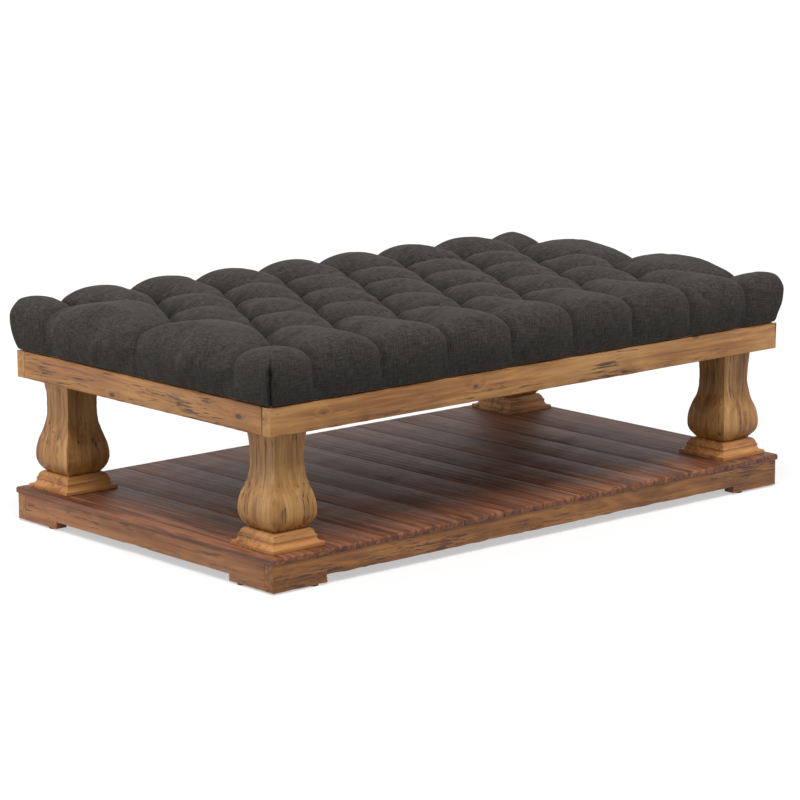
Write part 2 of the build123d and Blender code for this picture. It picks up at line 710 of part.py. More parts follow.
def fold_plane(across, x, y, side, angle):
    """Plane across a fold, at the point of the side that leans at this angle."""
    lean = radians(angle)
    radius = shoulder_radius if angle > 0 else belly_radius
    half_base = apron_y if across == facing_x else apron_x
    out = half_base + cushion_bulge - radius * (1 - cos(lean))
    height = cushion_z + belly_height + radius * sin(lean)
    if across == facing_x:
        along = Vector(1, 0, 0)
        outward = Vector(0, side * cos(lean), sin(lean))
        return Plane(origin=(x, side * out, height), x_dir=along, z_dir=along.cross(outward))
    along = Vector(0, 1, 0)
    outward = Vector(side * cos(lean), 0, sin(lean))
    return Plane(origin=(side * out, y, height), x_dir=along, z_dir=along.cross(outward))


with BuildPart() as edge_folds:
    for place in edge_fold_places:
        for angle, depth_share, width_share in zip(fold_angles, fold_depth_shares, fold_width_shares):
            depth = fold_depth * depth_share
            half_width = fold_half_width * width_share * (depth + overrun) / depth
            with BuildSketch(fold_plane(*place, angle)):
                with BuildLine():
                    Polyline((-half_width, overrun), (0, -depth), (half_width, overrun), close=True)
                make_face()
        loft(ruled=True)

# Pits: the four pillows round a button fall steeply to its seat, with a fold at each corner
pit_depth = cushion_height - pit_height
seat_start = (pit_mouth_width - pit_seat_width) / 2
seat_end = (pit_mouth_width + pit_seat_width) / 2
with BuildPart() as pits:
    with Locations([(x, y, seat_z + pit_depth / 2) for x, y in button_places]):
        Wedge(pit_mouth_width, pit_depth, pit_mouth_width, seat_start, seat_start, seat_end, seat_end,
              rotation=(-90, 0, 0))

with cushion_cover:
    add(edge_folds.part, mode=Mode.SUBTRACT)
    add(pits.part, mode=Mode.SUBTRACT)
    with BuildSketch(Plane.XY.offset(deck_z)):
        Rectangle(2 * (deck_x + soft_clearance), 2 * (deck_y + soft_clearance))
    extrude(amount=deck_thickness + foam_thickness, mode=Mode.SUBTRACT)
    with BuildSketch(Plane.XY.offset(cushion_z)):
        Rectangle(2 * (deck_x - flange_width), 2 * (deck_y - flange_width))
    extrude(amount=fabric_thickness, mode=Mode.SUBTRACT)
    with BuildSketch(Plane.XY.offset(foam_top_z)):
        with Locations(button_places):
            RegularPolygon(twine_hole_radius, hexagon, major_radius=False)
    extrude(amount=seat_z - foam_top_z, mode=Mode.SUBTRACT)
cushion_cover.part.label = "cushion_cover"
export_step(cushion_cover.part, "parts/cushion_cover.step")
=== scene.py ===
# %% [markdown]
# # An ottoman coffee table
#
# The table is long and low. Its top is a thick cushion of charcoal linen, buttoned down in five rows so
# that the cloth folds into diamonds. The cushion sits on an apron of reclaimed pine, on four square
# vase-shaped legs. Each leg stands on a moulded plinth, on a shelf of boards with a frame below it.
#
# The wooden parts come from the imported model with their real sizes. This lesson gives them eased edges and
# a waxed, knotty finish, sews a new cushion over the plain one, and sets the camera and the light.

from math import cos, pi, radians, sin

import bmesh
import bpy
import numpy as np
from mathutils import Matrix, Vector


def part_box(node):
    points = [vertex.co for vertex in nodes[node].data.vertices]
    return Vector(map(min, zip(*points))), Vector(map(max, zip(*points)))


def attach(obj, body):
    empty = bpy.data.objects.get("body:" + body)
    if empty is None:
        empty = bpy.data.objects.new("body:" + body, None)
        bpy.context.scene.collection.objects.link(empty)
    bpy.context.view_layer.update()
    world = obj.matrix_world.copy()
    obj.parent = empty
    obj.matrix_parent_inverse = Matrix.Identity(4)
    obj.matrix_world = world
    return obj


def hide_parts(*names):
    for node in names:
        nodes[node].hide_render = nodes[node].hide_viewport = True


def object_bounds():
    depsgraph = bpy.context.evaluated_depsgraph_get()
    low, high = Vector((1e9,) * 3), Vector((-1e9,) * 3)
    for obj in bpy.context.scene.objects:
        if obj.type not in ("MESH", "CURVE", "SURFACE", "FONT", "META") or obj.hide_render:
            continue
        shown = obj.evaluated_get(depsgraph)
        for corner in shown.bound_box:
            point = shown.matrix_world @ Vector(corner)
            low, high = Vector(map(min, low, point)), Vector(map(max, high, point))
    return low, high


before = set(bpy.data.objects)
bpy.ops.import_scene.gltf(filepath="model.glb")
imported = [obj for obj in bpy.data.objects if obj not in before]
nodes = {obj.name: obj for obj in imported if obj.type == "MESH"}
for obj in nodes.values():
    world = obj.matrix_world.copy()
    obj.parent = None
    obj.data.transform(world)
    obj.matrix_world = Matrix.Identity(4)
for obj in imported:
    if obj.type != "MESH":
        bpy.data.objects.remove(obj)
cad_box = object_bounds()
scene = bpy.context.scene
table_size = cad_box[1] - cad_box[0]


def new_object(name, data):
    """An object in the scene that shows this data."""
    made = bpy.data.objects.new(name, data)
    scene.collection.objects.link(made)
    return made


print("table of", len(nodes), "nodes,", [round(side * 1000) for side in table_size], "mm")

# %% [markdown]
# ## Where the camera stands
#
# The photograph looks at the front left corner from a little above the top. A long lens keeps the far end
# of the table nearly as large as the near end, so the camera stands well back, and only the lens decides
# how much of the frame the table fills.

# %% The camera
AZIMUTH = radians(-41.7)
ELEVATION = radians(11.3)
CAMERA_DISTANCE = 6.45
VIEW_WIDTH = 1.60
LOOK_AT = Vector((-0.015, 0.0, 0.212))

direction = Vector((sin(AZIMUTH) * cos(ELEVATION), -cos(AZIMUTH) * cos(ELEVATION), sin(ELEVATION)))
camera_data = bpy.data.cameras.new("camera")
camera = new_object("camera", camera_data)
camera.location = LOOK_AT + CAMERA_DISTANCE * direction
camera.rotation_euler = (-direction).to_track_quat("-Z", "Y").to_euler()
camera_data.lens = camera_data.sensor_width * CAMERA_DISTANCE / VIEW_WIDTH
camera_data.clip_end = 100
scene.camera = camera
print("lens", round(camera_data.lens), "mm")

# %% [markdown]
# ## Colours and nodes
#
# Colours are written as they look on a screen, as hex numbers, and the first function turns them into the
# linear values that light is reckoned in. The second function adds any node with its settings and links.
# It gives back one of the node's outputs, so the next node can take that as an input, and a recipe reads
# from top to bottom. Every material, the sky and the tree that makes the buttons are built with it.


# %% Colours and nodes
def linear(code):
    """The linear colour of an sRGB hex code such as 'b78346'."""
    shares = [int(code[start:start + 2], 16) / 255 for start in (0, 2, 4)]
    return (*[s / 12.92 if s <= 0.04045 else ((s + 0.055) / 1.055) ** 2.4 for s in shares], 1.0)


def add(tree, kind, inputs=None, output=0, stops=(), **settings):
    """Adds a node and gives back one of its outputs. An input is a value, or the output that feeds it."""
    added = tree.nodes.new(kind)
    for name, value in settings.items():
        setattr(added, name, value)
    for key, value in (inputs or {}).items():
        if isinstance(value, bpy.types.NodeSocket):
            tree.links.new(value, added.inputs[key])
        else:
            added.inputs[key].default_value = value
    band = added.color_ramp.elements if stops else ()
    while len(band) < len(stops):
        band.new(0.5)
    for stop, (place, colour) in zip(band, stops):
        stop.position = place
        stop.color = colour
    return added.outputs[output] if added.outputs else added


def new_material(name):
    """A material with an empty tree, and that tree."""
    material = bpy.data.materials.new(name)
    material.use_nodes = True
    material.node_tree.nodes.clear()
    return material, material.node_tree


MATH = "ShaderNodeMath"
VECTOR = "ShaderNodeVectorMath"
NOISE = "ShaderNodeTexNoise"
RANGE = "ShaderNodeMapRange"
RAMP = "ShaderNodeValToRGB"
MIX = "ShaderNodeMix"
BUMP = "ShaderNodeBump"
SURFACE = "ShaderNodeBsdfPrincipled"
OUTPUT = "ShaderNodeOutputMaterial"
BUMP_STRENGTH = 0.6
print("charcoal is", [round(value, 3) for value in linear("393633")[:3]])

# %% [markdown]
# ## Reclaimed pine
#
# The frame is old pine, sawn again, sanded and waxed. The eye reads six things in it: a fine fibre, streaks
# and slow changes of tone along the board, faint bands of growth, knots that the bands bend round, and dark
# gouges and splits that run with the grain. Most of them are a noise, stretched along the grain to its
# real size.
#
# The pattern fills the wood as in a real log, so the ends of the boards show end grain by themselves. The
# real fibre is a tenth of a millimetre wide, too fine for the picture, so it is drawn at two millimetres.

# %% The patterns in the wood
# For each pattern, in metres: length along the grain, width across it; then detail, roughness, distortion
PATTERNS = {
    "wander": (0.60, 0.080, 2.0, 0.50, 0.0),
    "fibre": (0.07, 0.002, 3.0, 0.65, 0.0),
    "streak": (0.40, 0.011, 3.0, 0.60, 0.0),
    "tone": (0.30, 0.070, 3.0, 0.55, 0.0),
    "worn": (0.16, 0.050, 1.0, 0.50, 0.0),
}


def wood_noises(tree, wood, gouge_size):
    """One noise for each pattern, and one for the gouges, whose size differs from piece to piece."""
    made = {}
    for name, values in {**PATTERNS, "gouge": (*gouge_size, 3.0, 0.60, 0.5)}.items():
        length, width, detail, roughness, distortion = values
        place = add(tree, VECTOR, {0: wood, 1: (1 / length, 1 / width, 1 / width)}, operation="MULTIPLY")
        made[name] = add(tree, NOISE, {"Vector": place, "Scale": 1.0, "Detail": detail,
                                       "Roughness": roughness, "Distortion": distortion})
    return made


print("patterns, mm:", {name: (values[0] * 1000, values[1] * 1000) for name, values in PATTERNS.items()})

# %% [markdown]
# A knot is the root of a branch, about as thick as a finger, and the grain swerves round it. The wood is
# divided into long cells, each with one point at random, and in about half of the cells that point is a
# knot. The distance to it serves three times: for the knot, for the stain round it, and for the swerve.

# %% Knots
KNOT_SPACING = 0.10
CELLS_WITHOUT_KNOT = 0.45
KNOT_CORE, KNOT_EDGE = 0.006, 0.011
HALO_CORE, HALO_EDGE = 0.008, 0.020
SWERVE_EDGE = 0.036


def knots_in(tree, wood):
    """Distance to the nearest knot, whether this cell of the wood has one, and the swerve round it."""
    across = 2 / KNOT_SPACING
    place = add(tree, VECTOR, {0: wood, 1: (1 / KNOT_SPACING, across, across)}, operation="MULTIPLY")
    cells = add(tree, "ShaderNodeTexVoronoi", {"Vector": place, "Scale": 1.0, "Randomness": 0.9}).node
    reach = add(tree, MATH, {0: cells.outputs["Distance"], 1: KNOT_SPACING}, operation="MULTIPLY")
    chance = add(tree, "ShaderNodeSeparateColor", {"Color": cells.outputs["Color"]})
    chosen = add(tree, MATH, {0: chance, 1: CELLS_WITHOUT_KNOT}, operation="GREATER_THAN")
    near = add(tree, RANGE, {"Value": reach, "From Min": SWERVE_EDGE, "From Max": 0.0},
               interpolation_type="SMOOTHSTEP")
    swerve = add(tree, MATH, {0: near, 1: chosen}, operation="MULTIPLY")
    return reach, chosen, swerve


print("knots about", KNOT_SPACING * 1000, "mm apart along the grain")

# %% [markdown]
# The tone of the wood is a sum of bands, fibre, streaks and slow changes, each with its weight. The bands
# are a sine of the place across the grain, which a slow wander and the knots have bent.

# %% The tone of the grain
GROWTH_BAND = 0.0060
WANDER, SWERVE = 0.085, 0.010
BAND_WEIGHT, FIBRE_WEIGHT, SOFT_WEIGHT = 0.10, 0.34, 0.56


def grain_tone(tree, noises, swerve, streaks):
    """How light the wood is, from about 0 to 1, before any marks."""
    phase = add(tree, MATH, {0: noises["wander"], 1: WANDER}, operation="MULTIPLY")
    phase = add(tree, MATH, {0: swerve, 1: SWERVE, 2: phase}, operation="MULTIPLY_ADD")
    turn = add(tree, MATH, {0: phase, 1: 2 * pi / GROWTH_BAND}, operation="MULTIPLY")
    wave = add(tree, MATH, {0: turn}, operation="SINE")
    soft = []
    for value, low, high in ((wave, -0.6, 1.0), (noises["streak"], 0.30, 0.70),
                             (noises["tone"], 0.32, 0.68)):
        soft.append(add(tree, RANGE, {"Value": value, "From Min": low, "From Max": high},
                        interpolation_type="SMOOTHSTEP"))
    total = 0.0
    for value, weight in ((soft[0], BAND_WEIGHT), (noises["fibre"], FIBRE_WEIGHT), (soft[1], streaks),
                          (soft[2], SOFT_WEIGHT - streaks)):
        total = add(tree, MATH, {0: value, 1: weight, 2: total}, operation="MULTIPLY_ADD")
    return total


print("growth bands", GROWTH_BAND * 1000, "mm apart")

# %% [markdown]
# The marks come on top. Gouges and splits lie in groups, where the board was used hardest. They are dark
# in the middle, where dust and old wax have settled, and have a stained rim. A knot has a dark core and a
# warm halo, so the two kinds of mark share their colours.

# %% Gouges, splits and knots
DARK_SHARE, STAIN_SHARE = 0.85, 0.40
GOUGE_LEVEL, LEVEL_DROP = 0.97, 0.12


def marks_in(tree, noises, reach, chosen, gouges):
    """How dark the gouges and knots are, and how strong the stain round them is."""
    gouge = add(tree, MATH, {0: noises["worn"], 1: 0.5, 2: noises["gouge"]}, operation="MULTIPLY_ADD")
    edge = GOUGE_LEVEL - LEVEL_DROP * gouges
    knot_dark = add(tree, MATH, {0: chosen, 1: DARK_SHARE}, operation="MULTIPLY")
    knot_stain = add(tree, MATH, {0: chosen, 1: STAIN_SHARE}, operation="MULTIPLY")
    parts = []
    for value, low, high, share in ((gouge, edge, edge + 0.07, DARK_SHARE),
                                    (reach, KNOT_EDGE, KNOT_CORE, knot_dark),
                                    (gouge, edge - 0.09, edge + 0.05, STAIN_SHARE),
                                    (reach, HALO_EDGE, HALO_CORE, knot_stain)):
        step = add(tree, RANGE, {"Value": value, "From Min": low, "From Max": high},
                   interpolation_type="SMOOTHSTEP")
        parts.append(add(tree, MATH, {0: step, 1: share}, operation="MULTIPLY"))
    dark = add(tree, MATH, {0: parts[0], 1: parts[1]}, operation="MAXIMUM")
    stain = add(tree, MATH, {0: parts[2], 1: parts[3]}, operation="MAXIMUM")
    return dark, stain


print("marks reach", DARK_SHARE, "of the way to the darkest brown")

# %% [markdown]
# Pine was sawn, sanded and rubbed with wax. Sanding leaves a faint relief where the hard fibre stands up,
# and wax gives a soft, even gloss that changes only a little with the fibre. Cured wax and wood bend
# light about alike, with an index near 1.48. Three browns along a ramp turn the tone into a colour.

# %% The waxed wood
SANDING_RELIEF = 0.0008
FIBRE_RISE = 0.4
WAX_INDEX = 1.48
GLOSS_CHANGE = 0.16
GRAIN_TURNS = {"X": (0, 0, 0), "Y": (0, 0, -pi / 2), "Z": (0, pi / 2, 0)}


def reclaimed_pine(name, along, dark, middle, light, gouges, gouge_size=(0.050, 0.0036), roughness=0.52,
                   streaks=0.26):
    """Waxed reclaimed pine whose grain runs along X, Y or Z."""
    material, tree = new_material(name)
    place = add(tree, "ShaderNodeTexCoord", output="Object")
    wood = add(tree, "ShaderNodeMapping", {"Vector": place, "Rotation": GRAIN_TURNS[along]}, name="shift")
    noises = wood_noises(tree, wood, gouge_size)
    reach, chosen, swerve = knots_in(tree, wood)
    tone = grain_tone(tree, noises, swerve, streaks)
    marks, stain = marks_in(tree, noises, reach, chosen, gouges)
    colour = add(tree, RAMP, {"Fac": tone},
                 stops=[(0.24, linear(dark)), (0.48, linear(middle)), (0.78, linear(light))])
    for share, brown in ((stain, "754722"), (marks, "3f2614")):
        colour = add(tree, MIX, {0: share, 6: colour, 7: linear(brown)}, output=2, data_type="RGBA")
    gloss = add(tree, MATH, {0: noises["fibre"], 1: GLOSS_CHANGE, 2: roughness - GLOSS_CHANGE / 2},
                operation="MULTIPLY_ADD")
    raised = add(tree, MATH, {0: noises["fibre"], 1: FIBRE_RISE}, operation="MULTIPLY")
    height = add(tree, MATH, {0: raised, 1: marks}, operation="SUBTRACT")
    relief = add(tree, BUMP, {"Height": height, "Strength": BUMP_STRENGTH, "Distance": SANDING_RELIEF})
    surface = add(tree, SURFACE, {"Base Color": colour, "Roughness": gloss, "IOR": WAX_INDEX,
                                  "Normal": relief})
    add(tree, OUTPUT, {"Surface": surface})
    return material


print("grain turned for", list(GRAIN_TURNS))

# %% [markdown]
# The same pine was used all over, but not from one log. The apron and the legs are honey brown, the plinths
# a little redder, the shelf is darkest, partly from its own old wood and partly as painted shade for the
# shade under the table top, and the base has the most gouges. Each direction of grain needs its own
# material. Each piece gets a copy whose pattern is shifted, so no two look alike, as if it were cut from
# another place in the log.

# %% The kinds of pine on this table
apron_long = reclaimed_pine("apron_pine_long", "X", "966131", "bf864b", "d8a362", gouges=0.55)
apron_short = reclaimed_pine("apron_pine_short", "Y", "915a30", "b97e45", "d1995a", gouges=0.9)
leg_pine = reclaimed_pine("shaped_leg_pine", "Z", "8f5d2a", "b78346", "d3a363", gouges=0.85,
                          gouge_size=(0.13, 0.0050))
plinth_pine = reclaimed_pine("moulded_plinth_pine", "X", "88552c", "b67b43", "cf985b", gouges=0.4)
# The shelf's browns hold painted shade: they are darker than its wood alone, for the shade under the table
# top
shelf_pine = reclaimed_pine("shelf_pine_with_painted_shade", "Y", "432212", "724026", "a36b48", gouges=0.35,
                            roughness=0.58, streaks=0.40)
base_long = reclaimed_pine("base_pine_long", "X", "7c4d24", "a76f3d", "c18a52", gouges=1.0)
base_short = reclaimed_pine("base_pine_short", "Y", "774826", "a0673d", "b98154", gouges=0.9)
inner_pine = reclaimed_pine("sawn_inner_pine", "X", "a97f4e", "c39c69", "d9b888", gouges=0.1, roughness=0.6)
log_places = np.random.default_rng(11)


def cut_from_log(material, name):
    """The same wood cut from another place in the log."""
    copy = material.copy()
    copy.name = name
    copy.node_tree.nodes["shift"].inputs["Location"].default_value = tuple(log_places.uniform(-9, 9, 3))
    return copy


print("kinds of pine:", len([material for material in bpy.data.materials if "pine" in material.name]))

# %% [markdown]
# ## Eased edges
#
# No edge on old wood is sharp: each is worn to a small, uneven round. A Bevel modifier would round them all
# alike. So the long edges are bevelled in the mesh, the piece is cut into short slices along its grain, and
# a slow noise pushes the bevel in by a different amount at each slice. The noise is a sum of a few waves of
# random direction and length, which is smooth and needs no table.

# %% Slow noise for shapes
WAVES = 7
SHORTEST_WAVE, LONGEST_WAVE = 0.7, 1.6


def slow_noise(points, size, seed):
    """Slow values from about -1 to 1 at these points, the same on every run."""
    chooser = np.random.default_rng(seed)
    total = np.zeros(len(points))
    for _ in range(WAVES):
        wave = chooser.normal(size=3)
        length = size * chooser.uniform(SHORTEST_WAVE, LONGEST_WAVE)
        wave *= 2 * pi / (length * np.linalg.norm(wave))
        total += np.sin(points @ wave + chooser.uniform(0, 2 * pi))
    return total / (WAVES / 2)


print("noise at the origin:", round(float(slow_noise(np.zeros((1, 3)), 0.05, 1)[0]), 2))

# %% [markdown]
# The edges round small bores stay as they are, because a worn screw hole would look drilled off centre.
# On the rails and boards they are the short edges. On the legs and plinths they lie near the middle.

# %% Bevel, slice and wear
SHARP_ANGLE = radians(35)
BEVEL_ANGLE = radians(12)
SHADING_ANGLE = radians(24)
FLAT_ANGLE = radians(0.5)
BORE_EDGE = 0.009
LONG_WEAR, SHORT_WEAR = 0.045, 0.018
SHORT_SHARE = 0.6


def outer_edges(mesh, middle, core):
    """The sharp edges of a piece, without those round its bores."""
    chosen = []
    for edge in mesh.edges:
        if len(edge.link_faces) != 2 or edge.calc_face_angle(0) < SHARP_ANGLE:
            continue
        centre = (edge.verts[0].co + edge.verts[1].co) / 2
        from_middle = Vector((centre.x - middle.x, centre.y - middle.y)).length
        if (core and from_middle > core) or (not core and edge.calc_length() > BORE_EDGE):
            chosen.append(edge)
    return chosen


def cut_in_slices(mesh, low, high, axis, slice_length):
    """Cuts the mesh across one axis, so that it has points to move along its edges."""
    steps = max(1, int((high[axis] - low[axis]) / slice_length))
    normal = Vector([float(index == axis) for index in range(3)])
    for step in range(1, steps):
        bmesh.ops.bisect_plane(mesh, geom=mesh.verts[:] + mesh.edges[:] + mesh.faces[:], dist=1e-6,
                               plane_co=low + (high - low) * step / steps, plane_no=normal)


def wear_edges(mesh, wear, seed):
    """Pushes the points on the bevels in, by slowly changing amounts."""
    mesh.normal_update()
    places = np.array([vert.co for vert in mesh.verts])
    push = slow_noise(places, LONG_WEAR, seed) + SHORT_SHARE * slow_noise(places, SHORT_WEAR, seed + 1)
    for vert, amount in zip(mesh.verts, np.clip(push, 0, 1.5)):
        angles = [edge.calc_face_angle(0) for edge in vert.link_edges if len(edge.link_faces) == 2]
        if max(angles, default=0) > BEVEL_ANGLE:
            vert.co -= vert.normal * amount * wear


print("edges sharper than", round(SHARP_ANGLE * 180 / pi), "degrees are eased")

# %% [markdown]
# A worn piece starts as a copy of its node, whose loose triangles are first merged into clean faces. It then
# stands in for the node, and carries one finish.


# %% One worn piece
def loose_copy(name, node_name):
    """A new object with a copy of a node's mesh, and that mesh opened for editing, with merged faces."""
    piece = new_object(name, nodes[node_name].data.copy())
    mesh = bmesh.new()
    mesh.from_mesh(piece.data)
    bmesh.ops.remove_doubles(mesh, verts=mesh.verts, dist=1e-5)
    bmesh.ops.dissolve_limit(mesh, angle_limit=FLAT_ANGLE, verts=mesh.verts, edges=mesh.edges)
    return piece, mesh


def finish_with(piece, material):
    """Gives a piece its one finish."""
    piece.data.materials.clear()
    piece.data.materials.append(material)


def worn_wood(name, along, round_size, slice_length, wear, seed, core=0.0):
    """Stands a copy with eased, uneven edges in for a node."""
    piece, mesh = loose_copy(name + "_worn", name)
    low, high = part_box(name)
    bmesh.ops.bevel(mesh, geom=outer_edges(mesh, (low + high) / 2, core), offset=round_size, segments=2,
                    profile=0.6, affect="EDGES", clamp_overlap=False)
    cut_in_slices(mesh, low, high, "XYZ".index(along), slice_length)
    wear_edges(mesh, wear, seed)
    mesh.to_mesh(piece.data)
    mesh.free()
    piece.data.shade_smooth()
    piece.data.set_sharp_from_angle(angle=SHADING_ANGLE)
    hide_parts(name)
    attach(piece, "root")
    return piece


wood_pieces = []
pine_nodes = [name for name, item in nodes.items() if "pine" in item.material_slots[0].name]
print("nodes of pine:", len(pine_nodes))

# %% [markdown]
# The long rails of the apron run the full length, so the end grain shows on the short sides. The rails of
# the base are worn most, because feet and brooms meet them.

# %% Rails of the apron and the base
RAIL_ROUND, RAIL_SLICE = 0.0016, 0.012
APRON_WEAR, BASE_WEAR = 0.0009, 0.0012

for kind, long_wood, short_wood, wear, first_seed in (("apron", apron_long, apron_short, APRON_WEAR, 0),
                                                      ("base", base_long, base_short, BASE_WEAR, 20)):
    for side in ("front", "rear", "left", "right"):
        name = f"{kind}_rail_{side}"
        along, wood = ("X", long_wood) if side in ("front", "rear") else ("Y", short_wood)
        piece = worn_wood(name, along, RAIL_ROUND, RAIL_SLICE, wear, first_seed + len(wood_pieces))
        finish_with(piece, cut_from_log(wood, name + "_pine"))
        wood_pieces.append(piece)
print("rails:", len(wood_pieces), "with", sum(len(piece.data.polygons) for piece in wood_pieces), "faces")

# %% [markdown]
# A leg is sawn to its vase shape from two sides and sanded, so its four corners stay sharp at first and are
# then worn round. The plinth below it has a moulding run along its four sides, which meets in mitres.

# %% Legs and plinths
LEG_ROUND, LEG_SLICE, LEG_WEAR, LEG_CORE = 0.0014, 0.007, 0.0009, 0.020

for corner in ("front_left", "front_right", "rear_left", "rear_right"):
    for kind, wood in (("leg", leg_pine), ("plinth", plinth_pine)):
        name = f"{kind}_{corner}"
        piece = worn_wood(name, "Z", LEG_ROUND, LEG_SLICE, LEG_WEAR, 40 + len(wood_pieces), core=LEG_CORE)
        finish_with(piece, cut_from_log(wood, name + "_pine"))
        wood_pieces.append(piece)

# %% [markdown]
# The shelf boards lie edge to edge and protect each other, so they are worn least. Their grain runs from
# front to rear, and their ends stand out a little past the base.

# %% Boards of the shelf
BOARDS = 12
BOARD_ROUND, BOARD_SLICE, BOARD_WEAR = 0.0006, 0.014, 0.0002

for number in range(1, BOARDS + 1):
    name = f"shelf_board_{number:02d}"
    piece = worn_wood(name, "Y", BOARD_ROUND, BOARD_SLICE, BOARD_WEAR, 60 + number)
    finish_with(piece, cut_from_log(shelf_pine, name + "_pine"))
    wood_pieces.append(piece)
print("worn pieces:", len(wood_pieces), "faces:", sum(len(piece.data.polygons) for piece in wood_pieces))

# %% [markdown]
# ## The cushion's pattern
#
# The buttons pull the cloth down in five rows, eight and seven in turn, and the cloth folds along the
# straight lines between them, so each fold is a known line and each pillow a known diamond. The mesh
# follows that rule: its points lie on a grid that runs with the folds, which keeps every fold sharp.
# From the outer buttons the folds run straight over the edge, so the border is a grid square to the edge,
# and the four sides are strips that meet at the corners in a mitre, as the sewn cloth does.

# %% The cushion's measures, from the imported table
BUTTON_RADIUS = 0.011
LONG_ROW = 8
ROWS = 5
SHOULDER_RADIUS = 0.038
BELLY_HEIGHT = 0.070
START_GAP = 0.004

cover_low, cover_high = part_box("cushion_cover")
rail_low, rail_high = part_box("apron_rail_front")
buttons_low, buttons_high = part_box("tuft_buttons")
base_z = cover_low.z
base_x, base_y = rail_high.x, -rail_low.y
last_x = buttons_high.x - BUTTON_RADIUS
last_y = buttons_high.y - BUTTON_RADIUS
half_pitch = last_x / (LONG_ROW - 1)
row_spacing = 2 * last_y / (ROWS - 1)
bulge = cover_high.x - base_x - START_GAP
flat_x = base_x + bulge - SHOULDER_RADIUS
flat_y = base_y + bulge - SHOULDER_RADIUS
crest = BELLY_HEIGHT + SHOULDER_RADIUS
seat = buttons_low.z - base_z
print("pitch", round(half_pitch * 2000, 1), "rows", round(row_spacing * 1000, 1), "mm")

# %% [markdown]
# Two questions come up again and again: how far is a place on the cloth from the nearest button, and how
# far is it from the nearest fold. Both are asked of the cloth laid flat, in metres. Among the diamonds
# the way to a fold is counted half as long again, because the creases there are narrower than at the
# border.

# %% Distance to buttons and folds
FIELD_SCALE = 0.75
FAR = 9.0


def to_line(place, spacing, offset):
    """0 on the nearest line of a row of lines, and 1 in the middle between two lines."""
    return np.abs(np.mod(place / spacing + offset, 2) - 1)


def nearest_button(x, y):
    """Distance to the nearest button."""
    nearest = np.full(np.shape(x), FAR)
    for row in range(ROWS):
        count = LONG_ROW - row % 2
        row_y = (row - (ROWS - 1) / 2) * row_spacing
        for step in range(count):
            button_x = (2 * step - (count - 1)) * half_pitch
            nearest = np.minimum(nearest, np.hypot(x - button_x, y - row_y))
    return nearest


def nearest_fold(x, y):
    """Distance to the nearest fold, counted longer in the field to keep its creases narrow."""
    beyond_x, beyond_y = np.abs(x) > last_x, np.abs(y) > last_y
    along, over = x / half_pitch, y / row_spacing
    diamond = np.minimum(to_line(along - over, 1, 0), to_line(along + over, 1, 0)) * row_spacing
    diamond = diamond * FIELD_SCALE
    long_way = np.where(beyond_x, np.abs(x) - last_x, to_line(x, half_pitch, 0) * half_pitch)
    end_way = np.where(beyond_y, np.abs(y) - last_y, to_line(y, row_spacing, 1) * row_spacing)
    border = np.minimum(np.where(beyond_y, long_way, FAR), np.where(beyond_x, end_way, FAR))
    return np.where(beyond_x | beyond_y, border, diamond)


print("buttons:", sum(LONG_ROW - row % 2 for row in range(ROWS)))

# %% [markdown]
# ## How high the cloth stands
#
# Right on a fold the cloth is at the fold's own height, which dips to the seat of the button at either end.
# From there it swells up quickly, like a quarter of an ellipse, to the top of the pillow. So the height
# is the product of two swells, one for each of the two folds beside the place.

# %% The pull of folds and buttons
FOLD_HEIGHT = 0.080
FOLD_REACH = 0.082
CREASE_DEPTH = 0.0060
CREASE_WIDTH = 0.0070
BORDER_BLEND = 0.05
FOLD_POWER = 0.8
LEVEL_POWER, STEEP_POWER = 2.2, 0.68


def swell(share):
    """Rise from a fold: steep at the fold and level in the middle of the pillow."""
    return (1 - (1 - np.clip(share, 0, 1)) ** LEVEL_POWER) ** STEEP_POWER


def pillow_rise(x, y):
    """0 on a fold, and 1 at the top of a pillow."""
    beyond_x = np.maximum(np.abs(x) - last_x, 0)
    beyond_y = np.maximum(np.abs(y) - last_y, 0)
    inner_x, inner_y = np.clip(x, -last_x, last_x), np.clip(y, -last_y, last_y)
    along, over = inner_x / half_pitch, inner_y / row_spacing
    diamond = swell(to_line(along - over, 1, 0)) * swell(to_line(along + over, 1, 0))
    long_way = np.where(beyond_x > 0, beyond_x / half_pitch, to_line(inner_x, half_pitch, 0))
    end_way = np.where(beyond_y > 0, beyond_y / row_spacing, to_line(inner_y, row_spacing, 1))
    long_rise = swell(long_way) ** (2 - np.clip(beyond_y / BORDER_BLEND, 0, 1))
    end_rise = swell(end_way) ** (2 - np.clip(beyond_x / BORDER_BLEND, 0, 1))
    rise = np.where(beyond_y > 0, long_rise, diamond)
    rise = np.where(beyond_x > 0, end_rise, rise)
    return np.where((beyond_x > 0) & (beyond_y > 0), long_rise * end_rise, rise)


def pulled_down(x, y):
    """How far the cloth is pulled in at a place on the cloth laid flat."""
    near = np.clip(nearest_button(x, y) / FOLD_REACH, 0, 1)
    fold = seat + (FOLD_HEIGHT - seat) * (1 - (1 - near) ** 2) ** FOLD_POWER
    crease = CREASE_DEPTH * np.exp(-(nearest_fold(x, y) / CREASE_WIDTH) ** 2)
    return (crest - fold) * (1 - pillow_rise(x, y)) + crease


at_button = pulled_down(np.array([half_pitch]), np.array([0.0]))
print("pull at a button", round(float(at_button[0]) * 1000), "mm")

# %% [markdown]
# ## Laying the cloth out
#
# The cloth is laid out in patches: the field of diamonds, and round it a border that runs over the shoulder
# and down each side. Every patch is a list of points, each with its place on the flat cloth. That place
# becomes the UV map, so the threads of the weave run on over the edge as they do on the real cover.

# %% The outline of the side
SHOULDER_STEPS = 14
SIDE_STEPS = 10


